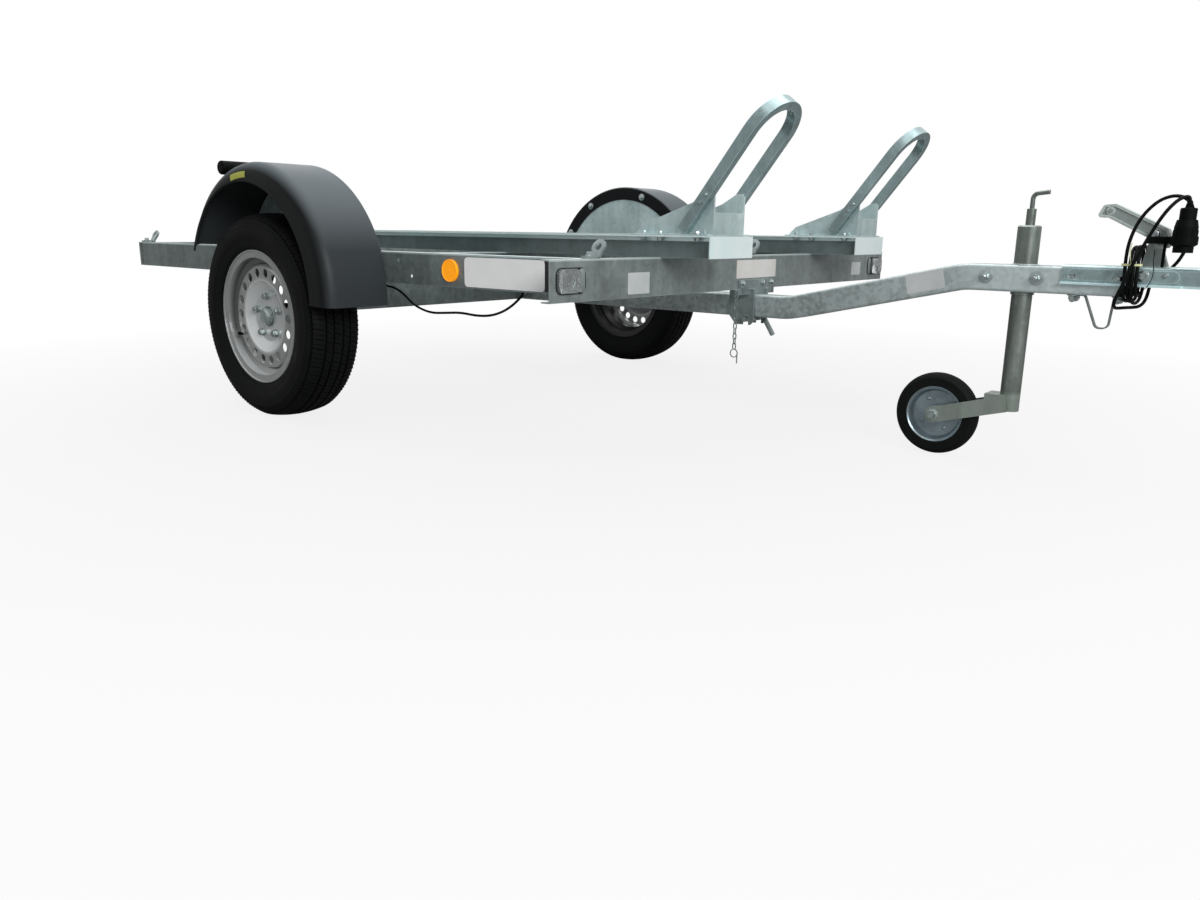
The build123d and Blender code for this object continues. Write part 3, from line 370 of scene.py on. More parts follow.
def recipes():
    """Each finish: its maker, its tint and the maker's other values, in the maker's order."""
    c = colours()
    even, long, upright = (1, 1, 1), (0.3, 1, 1), (6, 6, 0.5)
    black = (0.002, 0.0025, 0.0025)
    # Painted highlights along the channels' top edge and on the steps of the rails, and where the drawbar and
    # the stand grow paler
    channel_top_highlight = ("Z", 0.4615, 0.4630)
    rail_step_highlights = [
        ("Z", 0.5035, 0.5050, 5.0), ("Z", 0.5115, 0.5125, 5.8), ("X", 1.2065 + AXIS_X, 1.2075 + AXIS_X, 5.6),
    ]
    bar_front = [("X", 1.35 + AXIS_X, 1.75 + AXIS_X, 1.75)]
    fork = [("Z", 0.175, 0.165, 1.7)]
    # In each zinc row the value after the stretch sets the painted highlight on top faces
    return {
        "Frame_Zinc": (zinc, c.frame, 0.2, 0.3, 0.42, 0.45, 80, (0.5, 1, 1), 1.7, [(*channel_top_highlight, 2.0)]),
        "Side_Zinc": (zinc, c.side, 0.25, 0.6, 0.40, 0.5, 80, (0.35, 1, 1), 2.6, [(*channel_top_highlight, 2.8)]),
        "Sheet_Zinc": (zinc, c.sheet, 0.14, 0.3, 0.34, 0.5, 70, even, 1.35),
        "Rail_Zinc": (zinc, c.rail, 0.12, 0.4, 0.34, 0.45, 60, long, 4.0, rail_step_highlights),
        "Bar_Zinc": (zinc, c.bar, 0.6, 0.7, 0.34, 0.5, 110, (0.6, 1, 1), 1.5, bar_front),
        "Hoop_Zinc": (zinc, scaled(c.sheet, 0.52), 0.12, 0.4, 0.28, 0.6, 110, even, 2.3, (), 2.6),
        "Head_Zinc": (
            zinc, scaled(c.sheet, 0.58), 0.14, 0.55, 0.28, 0.6, 90, even, 2.2, [("Z", 0.4305, 0.4295, 2.0)],
        ),
        "Sleeve_Zinc": (zinc, scaled(c.stand, 1.15), 0.12, 0.9, 0.3, 0.65, 100, upright, 2.6),
        # The lever's recess in its middle is darker: painted shade
        "Lever_Casting": (
            zinc, c.casting, 0.1, 0.6, 0.34, 0.5, 200, even, 1.4, [("|Y", 0.0135, 0.0115, 0.6)],
        ),
        "Stand_Steel": (zinc, c.stand, 0.15, 0.9, 0.36, 0.6, 100, upright, 2.0, fork),
        "Bright_Plating": (plated, c.plated),
        "Dull_Plating": (plated, scaled(c.plated, 0.5), 0.4, 0.8),
        "Stand_Disc": (plated, (0.24, 0.30, 0.33), 0.3, 0.85),
        "Lamp_Mirror": (plated, (0.22, 0.24, 0.24), 0.25, 0.9),
        "Rim_Silver": (rim_paint, c.rim),
        "Tyre_Rubber": (tyre_rubber, c.rubber),
        # The fender's last value is its painted highlight on faces that look up
        "Fender_Plastic": (moulded, c.fender, 0.42, 900, 0.25, 0.05, 0.12, 25.0),
        "Black_Plastic": (moulded, black, 0.6, 500, 0.2, 0.05, 0.06),
        "Cable_Sheath": (moulded, black, 0.45, 300, 0.12, 0.05, 0.08),
        "Tie_Plastic": (moulded, (0.60, 0.62, 0.34), 0.35, 200, 0.1, 0.2),
        "Dark_Hollow": (moulded, (0.012, 0.013, 0.013), 0.8, 300, 0.2, 0.2),
        # The amber lenses and reflectors glow a little: a painted glow
        "Amber_Lens": (lens, c.amber, 0.0, 0.35, 380, 0.3, 0.42),
        "Red_Lens": (lens, c.red, 0.0, 0.14, 260, 0.5),
        "Clear_Lens": (lens, (0.80, 0.83, 0.83), 0.9, 0.06, 240, 0.25),
        "White_Film": (sticker, (0.93, 0.94, 0.94), (0.86, 0.88, 0.88)),
        # A near-black film used as a painted shadow
        "Black_Film": (sticker, (0.006, 0.006, 0.006), (0.010, 0.010, 0.010)),
        "Label_Film": (sticker, c.label, (0.50, 0.47, 0.45)),
        "Silver_Film": (sticker, (0.50, 0.52, 0.52), (0.38, 0.41, 0.41)),
        "Yellow_Film": (sticker, (0.50, 0.52, 0.06), (0.40, 0.42, 0.05)),
    }


def finish(name):
    """The named finish, made once."""
    if name not in MATERIALS:
        maker, tint, *others = recipes()[name]
        MATERIALS[name] = maker(name, tuple(tint), *others)
    return MATERIALS[name]


# Mesh tools


def add_turned(bm, profile, origin, direction, segments=32, turn=0.0):
    """Turns points of distance along a line and radius about that line."""
    way = Vector(direction).normalized()
    side = way.orthogonal().normalized()
    up = way.cross(side)
    rings = []
    for along, radius in profile:
        middle = origin + way * along
        if radius < 1e-6:
            rings.append([bm.verts.new(middle)])
            continue
        ring = []
        for i in range(segments):
            a = turn + math.tau * i / segments
            ring.append(bm.verts.new(middle + radius * (side * math.cos(a) + up * math.sin(a))))
        rings.append(ring)
    for low, high in zip(rings, rings[1:]):
        for i in range(segments):
            j = (i + 1) % segments
            corners = [low[i % len(low)], low[j % len(low)], high[j % len(high)], high[i % len(high)]]
            corners = list(dict.fromkeys(corners))
            if len(corners) > 2:
                bm.faces.new(corners)


def add_prism(bm, outline, depth):
    """Closes a flat outline into a plate of that depth."""
    near = [bm.verts.new(p) for p in outline]
    far = [bm.verts.new(Vector(p) + depth) for p in outline]
    bm.faces.new(near)
    bm.faces.new(list(reversed(far)))
    join_rows(bm, [near, far])


def join_rows(bm, rows, closed=True):
    """Faces between rows of vertices; a closed row goes back to its first one."""
    for low, high in zip(rows, rows[1:]):
        for i in range(len(low) if closed else len(low) - 1):
            j = (i + 1) % len(low)
            bm.faces.new((low[i], low[j], high[j], high[i]))


def rounded(middle, right, up, width, height, radius, steps=4):
    """Outline of a rectangle with round corners."""
    right, up = Vector(right).normalized(), Vector(up).normalized()
    points = []
    for sx, sy, begin in ((1, 1, 0.0), (-1, 1, 90.0), (-1, -1, 180.0), (1, -1, 270.0)):
        for k in range(steps + 1):
            a = math.radians(begin + 90.0 * k / steps)
            x = sx * (width / 2 - radius) + radius * math.cos(a)
            y = sy * (height / 2 - radius) + radius * math.sin(a)
            points.append(Vector(middle) + right * x + up * y)
    return points


def add_object(name, data, look, body):
    """Puts a mesh or curve in the scene as a piece that rides on a body."""
    data.materials.append(finish(look))
    piece = bpy.data.objects.new(name, data)
    bpy.context.scene.collection.objects.link(piece)
    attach(piece, body)
    return piece


def make_piece(name, bm, look, body, bevel=0.0, sharp=34.0):
    """Turns a bmesh into a piece, smooth but for edges sharper than that angle."""
    least_bevelled = 0.7
    bmesh.ops.recalc_face_normals(bm, faces=bm.faces)
    if bevel:
        edges = [e for e in bm.edges if len(e.link_faces) == 2 and e.calc_face_angle() > least_bevelled]
        bmesh.ops.bevel(
            bm, geom=edges, offset=bevel, segments=2, profile=0.5, affect="EDGES", clamp_overlap=True,
        )
    limit = math.radians(sharp)
    for edge in bm.edges:
        edge.smooth = len(edge.link_faces) == 2 and edge.calc_face_angle() < limit
    for face in bm.faces:
        face.smooth = True
    mesh = bpy.data.meshes.new(name)
    bm.to_mesh(mesh)
    bm.free()
    return add_object(name, mesh, look, body)


def make_line(name, points, thickness, look, body):
    """A wire or cord along a smooth line through control points."""
    curve = bpy.data.curves.new(name, "CURVE")
    curve.dimensions = "3D"
    spline = curve.splines.new("NURBS")
    spline.points.add(len(points) - 1)
    for point, place in zip(spline.points, points):
        point.co = (*place, 1.0)
    spline.order_u = 3
    spline.use_endpoint_u = True
    spline.resolution_u = 6
    curve.bevel_depth = thickness / 2
    curve.bevel_resolution = 3
    curve.use_fill_caps = True
    return add_object(name, curve, look, body)


def add_bolt(bm, spot, direction, across, washer, domed=False, stud=0.0):
    """A washer and a hexagon head, a nut with its thread end, or a domed cap nut."""
    corner = across / 1.732
    height = across * 0.62
    thick = across * 0.14 if washer else 0.0
    if washer:
        rim = across * washer / 2
        ring = [(0, 0), (0, rim), (thick * 0.8, rim), (thick, rim * 0.94), (thick, 0)]
        add_turned(bm, ring, spot, direction, 28)
    top = thick + height
    head = [(thick, 0), (thick, corner), (thick + height * 0.78, corner), (top, corner * 0.86), (top, 0)]
    add_turned(bm, head, spot, direction, 6, 0.35 + (spot[0] * 37.0) % 1.0)
    if stud:
        thread, end = across * 0.3, top + stud
        rod = [(thick, thread), (end, thread), (end + 0.001, thread * 0.7), (end + 0.001, 0)]
        add_turned(bm, rod, spot, direction, 16)
    if domed:
        base = thick + height * 0.9
        dome = [(base + corner * 0.8 * math.sin(a), corner * 0.82 * math.cos(a)) for a in (0, 0.4, 0.8, 1.2)]
        add_turned(bm, dome + [(base + corner * 0.8, 0)], spot, direction, 20)


# Stage, camera and lights


class TRAILER_OT_stage(bpy.types.Operator):
    """Adds the floor, the soft lights and the camera"""

    bl_idname = "trailer.stage"
    bl_label = "Stage"

    def execute(self, context):
        scene = context.scene
        scene.view_settings.view_transform = "Standard"
        self.add_camera(scene)
        self.add_floor(scene)
        self.add_world(scene)
        # Name, place, size, power and where it points
        lights = [
            ("Light_Above", (0.2, 0.3, 4.2), (5.5, 4.0), 132, (0.0, 0.0, 0.4)),
            ("Light_Side", (4.6, -2.7, 2.4), (2.4, 1.8), 200, (0.3, 0.0, 0.4)),
            ("Light_Rear", (-3.4, 2.8, 2.6), (3.0, 2.0), 26, (0.0, 0.0, 0.4)),
        ]
        for name, place, size, power, aim in lights:
            lamp = bpy.data.lights.new(name, "AREA")
            lamp.shape = "RECTANGLE"
            lamp.size, lamp.size_y = size
            lamp.energy = power
            light = bpy.data.objects.new(name, lamp)
            light.location = place
            light.rotation_mode = "QUATERNION"
            light.rotation_quaternion = (Vector(aim) - Vector(place)).to_track_quat("-Z", "Y")
            scene.collection.objects.link(light)
        return {"FINISHED"}

    def add_camera(self, scene):
        """Stands where the photograph was taken from."""
        yaw, pitch, roll = -0.6948, 0.2354, 0.0121
        ahead = Vector((math.sin(yaw) * math.cos(pitch), math.cos(yaw) * math.cos(pitch), -math.sin(pitch)))
        right = Vector((math.cos(yaw), -math.sin(yaw), 0.0))
        up = right.cross(ahead)
        level_right = right * math.cos(roll) + up * math.sin(roll)
        level_up = up * math.cos(roll) - right * math.sin(roll)
        data = bpy.data.cameras.new("Camera")
        data.sensor_fit = "HORIZONTAL"
        data.sensor_width = 36.0
        data.lens = 27.49
        data.clip_start, data.clip_end = 0.05, 60.0
        camera = bpy.data.objects.new("Camera", data)
        scene.collection.objects.link(camera)
        camera.location = (1.8438, -2.2303, 0.5264)
        camera.rotation_mode = "QUATERNION"
        axes = Matrix((level_right, level_up, -ahead))
        camera.rotation_quaternion = axes.transposed().to_quaternion()
        scene.camera = camera

    def add_floor(self, scene):
        """A matt floor that turns into the pale backdrop with distance."""
        half = 30.0
        fade_from, fade_to = 0.8, 3.0
        mesh = bpy.data.meshes.new("Floor")
        corners = [(-half, -half, 0), (half, -half, 0), (half, half, 0), (-half, half, 0)]
        mesh.from_pydata(corners, [], [(0, 1, 2, 3)])
        floor = bpy.data.objects.new("Floor", mesh)
        scene.collection.objects.link(floor)
        material = bpy.data.materials.new("Pale_Floor")
        material.use_nodes = True
        tree = material.node_tree
        tree.nodes.remove(tree.nodes["Principled BSDF"])
        n = Nodes(tree)
        matt = n.add("ShaderNodeBsdfDiffuse", {"Color": (0.34, 0.34, 0.34, 1)})
        glow = n.add("ShaderNodeEmission", {"Color": (1, 1, 1, 1), "Strength": 1.0})
        away = n.vector("LENGTH", (n.add("ShaderNodeNewGeometry", out="Position"),), "Value")
        seen = n.add("ShaderNodeLightPath", out="Is Camera Ray")
        share = n.times(seen, n.spread(away, 0.84, 1.0, fade_from, fade_to))
        both = n.add("ShaderNodeMixShader", {0: share, 1: matt, 2: glow})
        n.fill(tree.nodes["Material Output"], {"Surface": both})
        mesh.materials.append(material)

    def add_world(self, scene):
        """A pale room for the camera and through glass, half as pale in reflections."""
        world = bpy.data.worlds.new("Pale_Room")
        world.use_nodes = True
        scene.world = world
        n = Nodes(world.node_tree)
        camera, through, glossy = [
            n.add("ShaderNodeLightPath", out=kind)
            for kind in ("Is Camera Ray", "Is Transmission Ray", "Is Glossy Ray")
        ]
        shown = n.compute("MAXIMUM", n.compute("MAXIMUM", camera, through), n.times(glossy, 0.5))
        strength = n.spread(shown, 0.30, 1.0, 0.0, 1.0)
        n.fill(world.node_tree.nodes["Background"], {"Color": (1, 1, 1, 1), "Strength": strength})


# Cords


class TRAILER_OT_cords(bpy.types.Operator):
    """Adds the coupling cable with its coil and plug, and the lamp cable"""

    bl_idname = "trailer.cords"
    bl_label = "Cords"

    def ring_spot(self, turns, band, loose):
        """A point of the coil, counted in turns from its lower side, going to the right first."""
        a = -math.pi / 2 - math.tau * turns
        y, z = math.cos(a), math.sin(a)
        centre_z, corner, reach_y, reach_z, squareness = 0.449, 0.0405, 0.0145, 0.018, 2.2
        side = reach_y * max(-1.0, min(1.0, squareness * y))
        rise = reach_z * max(-1.0, min(1.0, squareness * z))
        return at(band, side + (corner + loose) * y, centre_z + rise + (corner + loose) * z)

    def execute(self, context):
        route = places(
            (1.955, -0.008, 0.422), (1.969, -0.008, 0.422), (1.980, -0.010, 0.418), (1.985, -0.016, 0.408),
        )
        steps, coil_turns, coil_front, coil_pitch = 14, 3, 1.985, 0.0076
        for i in range(2, coil_turns * steps + 5):
            turns = i / steps
            band = coil_front - coil_pitch * turns
            loose = 0.0016 * math.sin(1.9 * turns) + 0.0012 * math.cos(7.1 * turns)
            route.append(self.ring_spot(turns, band, loose))
        # Over the plug and back to the far side of the coil
        route += places(
            (1.9605, -0.0605, 0.474), (1.961, -0.061, 0.508), (1.967, -0.060, 0.538), (1.977, -0.058, 0.564),
            (1.992, -0.056, 0.586), (2.010, -0.052, 0.602), (2.033, -0.046, 0.608), (2.052, -0.036, 0.600),
            (2.061, -0.019, 0.580), (2.060, 0.003, 0.547), (2.054, 0.025, 0.512), (2.041, 0.044, 0.480),
            (2.022, 0.055, 0.457), (2.004, 0.058, 0.445), (1.992, 0.059, 0.434), (1.9905, 0.057, 0.419),
            (1.990, 0.050, 0.402), (1.988, 0.037, 0.389), (1.983, 0.020, 0.3815), (1.974, 0.004, 0.380),
            (1.964, -0.014, 0.380), (1.956, -0.032, 0.3795), (1.951, -0.050, 0.380), (1.950, -0.066, 0.388),
            (1.955, -0.074, 0.404), (1.963, -0.075, 0.428), (1.972, -0.075, 0.458), (1.984, -0.074, 0.490),
            (1.997, -0.072, 0.524), (2.010, -0.071, 0.555), (2.024, -0.068, 0.581), (2.039, -0.061, 0.600),
            (2.053, -0.053, 0.606), (2.057, -0.050, 0.598), (2.057, -0.050, 0.5832),
        )
        cable = make_line("Coupling_Cable", route, sizes().cable, "Cable_Sheath", "drawbar")
        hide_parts("cable_run", "cable_coil")
        self.add_boot()
        self.add_tie()
        self.add_lamp_cable()
        return {"FINISHED"}

    def add_boot(self):
        """Tapered boot where the cable goes into the plug."""
        bm = bmesh.new()
        rings = [(0.0, 0.0), (0.0, 0.0085)]
        for k in range(4):
            rings += [(0.0015 + 0.003 * k, 0.0082 - 0.0008 * k), (0.003 + 0.003 * k, 0.0066 - 0.0006 * k)]
        rings += [(0.0145, 0.0042), (0.0145, 0.0)]
        add_turned(bm, rings, at(2.057, -0.050, 0.5825), UP, 24)
        make_piece("Plug_Boot", bm, "Black_Plastic", "drawbar")

    def add_tie(self):
        """Pale wire tie round the near side of the coil, its tail standing off."""
        bm = bmesh.new()
        middle = at(1.9725, -0.0575, 0.470)
        rows = []
        for share, rise in ((1.16, -0.0022), (1.16, 0.0022), (1.0, 0.0022), (1.0, -0.0022)):
            row = []
            for k in range(24):
                a = math.tau * k / 24
                x, y = 0.0165 * math.cos(a) * share, 0.0062 * math.sin(a) * share
                row.append(bm.verts.new(middle + Vector((x, y - 0.0005, rise))))
            rows.append(row)
        join_rows(bm, rows + [rows[0]])
        make_piece("Cable_Tie", bm, "Tie_Plastic", "drawbar")
        tail = places(
            (1.972, -0.0655, 0.470), (1.970, -0.0675, 0.482), (1.967, -0.0675, 0.500), (1.969, -0.066, 0.514),
        )
        make_line("Tie_Tail", tail, 0.0022, "Tie_Plastic", "drawbar")

    def add_lamp_cable(self):
        route = places(
            (0.330, -0.692, 0.386), (0.330, -0.692, 0.379), (0.340, -0.692, 0.374), (0.364, -0.690, 0.373),
            (0.400, -0.688, 0.359), (0.432, -0.688, 0.337), (0.470, -0.690, 0.323), (0.520, -0.693, 0.315),
            (0.575, -0.692, 0.319), (0.628, -0.690, 0.323), (0.684, -0.692, 0.319), (0.736, -0.693, 0.322),
            (0.778, -0.692, 0.334), (0.812, -0.691, 0.352), (0.836, -0.692, 0.370), (0.846, -0.692, 0.377),
            (0.846, -0.692, 0.386),
        )
        cable = make_line("Lamp_Cable", route, sizes().lamp_cable, "Cable_Sheath", "bed")
        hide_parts("lamp_cable")


# Finishes of the carried-over solids


class TRAILER_OT_finishes(bpy.types.Operator):
    """Gives each carried-over solid its finish"""

    bl_idname = "trailer.finishes"
    bl_label = "Finishes"

    def execute(self, context):
        looks = {
            "Frame_Zinc": "front_crossmember rear_crossmember mid_crossmembers",
            "Side_Zinc": "side_beam_left side_beam_right axle_beam axle_arms saddle pivot_bracket",
            "Head_Zinc": "coupling_head",
            "Sleeve_Zinc": "jockey_sleeve",
            "Rail_Zinc": "wheel_rail_left wheel_rail_right",
            "Sheet_Zinc": "wheel_holder_left wheel_holder_right fender_plate_left fender_plate_right",
            "Hoop_Zinc": "hoop_left hoop_right",
            "Bar_Zinc": "drawbar",
            "Bright_Plating": "lashing_eyes hub_left hub_right lock_pin pin_chain",
            "Dull_Plating": "skid_strap",
            "Lever_Casting": "coupling_lever",
            "Stand_Steel": "jockey_column",
            "Stand_Disc": "jockey_wheel",
            "Rim_Silver": "rim_left rim_right",
            "Tyre_Rubber": "tyre_left tyre_right jockey_tyre",
            "Fender_Plastic": "fender_left fender_right",
            "Black_Plastic": "plug cable_fittings fender_lamp",
            "Cable_Sheath": "cable_run cable_coil lamp_cable",
            "Clear_Lens": "front_lamps",
            "Red_Lens": "rear_lamps",
            "Amber_Lens": "side_reflectors",
        }
        bare = set(NODES)
        for look, names in looks.items():
            for name in names.split():
                materials = NODES[name].data.materials
                materials.clear()
                materials.append(finish(look))
                bare.remove(name)
        if bare:
            raise RuntimeError(f"no finish for {sorted(bare)}")
        return {"FINISHED"}


# Road tyres


class TRAILER_OT_road_tyres(bpy.types.Operator):
    """Builds the road tyres with their tread blocks and sidewall ridges"""

    bl_idname = "trailer.road_tyres"
    bl_label = "Road Tyres"

    def crown(self, y):
        """Radius of the tread's surface, Y counted from the tyre's middle."""
        y, shoulder = abs(y), 0.058
        drop, drop_y, slope, bend = 0.0065, 0.060, 0.22, 42.0
        past = max(0.0, y - shoulder)
        return WHEEL_R - drop * (min(y, shoulder) / drop_y) ** 2 - slope * past - bend * past ** 2

    def add_block(self, bm, middle, rib, first, last, lean, depth):
        """One tread block between two angles, its ends slanting by lean."""
        low, high = rib
        across = 3 if high - low > 0.016 else 2
        along = 2
        top, base = [], []
        for i in range(across + 1):
            y = low + (high - low) * i / across
            for j in range(along + 1):
                a = first + (last - first) * j / along + lean * (i / across)
                r = self.crown(y)
                for rows, radius in ((top, r), (base, r - depth - 0.001)):
                    spot = Vector((radius * math.sin(a), y, radius * math.cos(a)))
                    rows.append(bm.verts.new(middle + spot))
        width = along + 1
        for i in range(across):
            for j in range(along):
                k = i * width + j
                bm.faces.new((top[k], top[k + 1], top[k + width + 1], top[k + width]))
        edge = list(range(width)) + [i * width + along for i in range(1, across + 1)]
        edge += [across * width + j for j in range(along - 1, -1, -1)]
        edge += [i * width for i in range(across - 1, 0, -1)]
        for k, m in zip(edge, edge[1:] + edge[:1]):
            bm.faces.new((top[k], base[k], base[m], top[m]))

    def execute(self, context):
        depth, groove, pitches = sizes().tread_depth, sizes().groove, sizes().tread_pitches
        pitch = math.tau / pitches
        blocks = 2
        gap = 0.0016 / WHEEL_R
        middle_rib, side_rib, rib_edge, tread_edge = 0.011, 0.0115 + groove, 0.0335, 0.069
        # Low Y, high Y, slant and offset in pitches
        ribs = [
            (-middle_rib, middle_rib, 0.30, 0.0),
            (side_rib, rib_edge, 0.42, 0.3),
            (-rib_edge, -side_rib, 0.42, 0.8),
            (rib_edge + groove, tread_edge, 0.16, 0.1),
            (-tread_edge, -rib_edge - groove, 0.16, 0.55),
        ]
        for side, sign in reversed(SIDES):
            middle = at(0.0, sign * WHEEL_Y, WHEEL_R)
            bm = bmesh.new()
            self.add_carcass(bm, middle, depth)
            for low, high, slant, offset in ribs:
                for k in range(pitches):
                    for b in range(blocks):
                        begin = (k + offset + b / blocks) * pitch
                        end = begin + pitch / blocks - gap * (1.6 if b == 0 else 0.75)
                        self.add_block(bm, middle, (low, high), begin, end, slant * pitch, depth)
            tyre = make_piece(f"Road_Tyre_{side}", bm, "Tyre_Rubber", f"wheel_{side}", sharp=38)
            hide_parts(f"tyre_{side}")
        return {"FINISHED"}

    def add_carcass(self, bm, middle, depth):
        """Sidewalls with moulded ridges and the floor of the grooves."""
        floor = [(y, self.crown(y) - depth) for y in (0.069, 0.06, 0.045, 0.03, 0.015, 0.0)]
        # Y, radius, from the bead outwards
        wall = [
            (0.0495, 0.165), (0.0635, 0.165), (0.0635, 0.1805), (0.0685, 0.1845), (0.0715, 0.1900),
            (0.0740, 0.1905), (0.0752, 0.1930), (0.0762, 0.1965), (0.0772, 0.2000), (0.0790, 0.2065),
            (0.0806, 0.2150), (0.0814, 0.2165), (0.0816, 0.2190), (0.0822, 0.2250), (0.0825, 0.2318),
            (0.0822, 0.2385), (0.0813, 0.2440), (0.0815, 0.2446), (0.0810, 0.2470), (0.0801, 0.2475),
            (0.0785, 0.2530), (0.0764, 0.2580), (0.0735, 0.2630),
        ]
        half = wall + floor
        profile = half + [(-y, r) for y, r in reversed(half[:-1])]
        add_turned(bm, profile + [profile[0]], middle, ACROSS, 144)
        bmesh.ops.remove_doubles(bm, verts=bm.verts, dist=1e-6)
        # Short radial ribs at the shoulder
        count = 132
        for sign in (-1, 1):
            for k in range(count):
                a = math.tau * k / count
                spot = []
                for y, r in ((0.0712, 0.2662), (0.0790, 0.2522)):
                    for da in (-0.006, 0.006):
                        n = Vector((math.sin(a + da), 0, math.cos(a + da)))
                        for lift in (0.0, 0.0011):
                            out = Vector((0, sign * (y + lift), 0))
                            spot.append(bm.verts.new(middle + n * (r + lift * 0.3) + out))
                for face in ((1, 3, 7, 5), (0, 1, 5, 4), (2, 6, 7, 3), (0, 2, 3, 1), (4, 5, 7, 6)):
                    bm.faces.new([spot[i] for i in face])


# Wheels: nuts, valves and centre rings


class TRAILER_OT_wheel_fittings(bpy.types.Operator):
    """Adds the wheel nuts, the rings round the hubs and the valves"""

    bl_idname = "trailer.wheel_fittings"
    bl_label = "Wheel Fittings"

    def execute(self, context):
        nut_circle, valve_circle = 0.056, 0.143
        seat = [(0, 0), (0, 0.0105), (0.003, 0.0112), (0.0045, 0.0100), (0.0045, 0)]
        nut = [(0.004, 0.0), (0.004, 0.0098), (0.0125, 0.0098), (0.0148, 0.0078), (0.0148, 0)]
        ring = [(-0.001, 0.0275), (0.0018, 0.0295), (0.0030, 0.0285), (0.0030, 0.0262), (-0.001, 0.0262)]
        valve = [
            (0, 0), (0, 0.0058), (0.006, 0.0050), (0.018, 0.0036), (0.024, 0.0036), (0.0245, 0.0046),
            (0.034, 0.0046), (0.035, 0.0),
        ]
        for side, sign in reversed(SIDES):
            out = (0, sign, 0)
            bm = bmesh.new()
            for i in range(5):
                a = math.tau * i / 5 + math.pi / 2
                spot = on_circle(0.0, sign * DISC_Y, WHEEL_R, nut_circle, a)
                add_turned(bm, seat, spot, out, 24)
                add_turned(bm, nut, spot, out, 6, a)
            add_turned(bm, ring, at(0, sign * DISC_Y, WHEEL_R), out, 40)
            make_piece(f"Wheel_Nuts_{side}", bm, "Bright_Plating", f"wheel_{side}")
            bm = bmesh.new()
            a = math.radians(205 if sign < 0 else 25)
            lean = (-0.5 * math.cos(a), sign, -0.5 * math.sin(a))
            add_turned(bm, valve, on_circle(0.0, sign * DISC_Y, WHEEL_R, valve_circle, a), lean, 16)
            make_piece(f"Valve_{side}", bm, "Black_Plastic", f"wheel_{side}")
        return {"FINISHED"}


# Fasteners


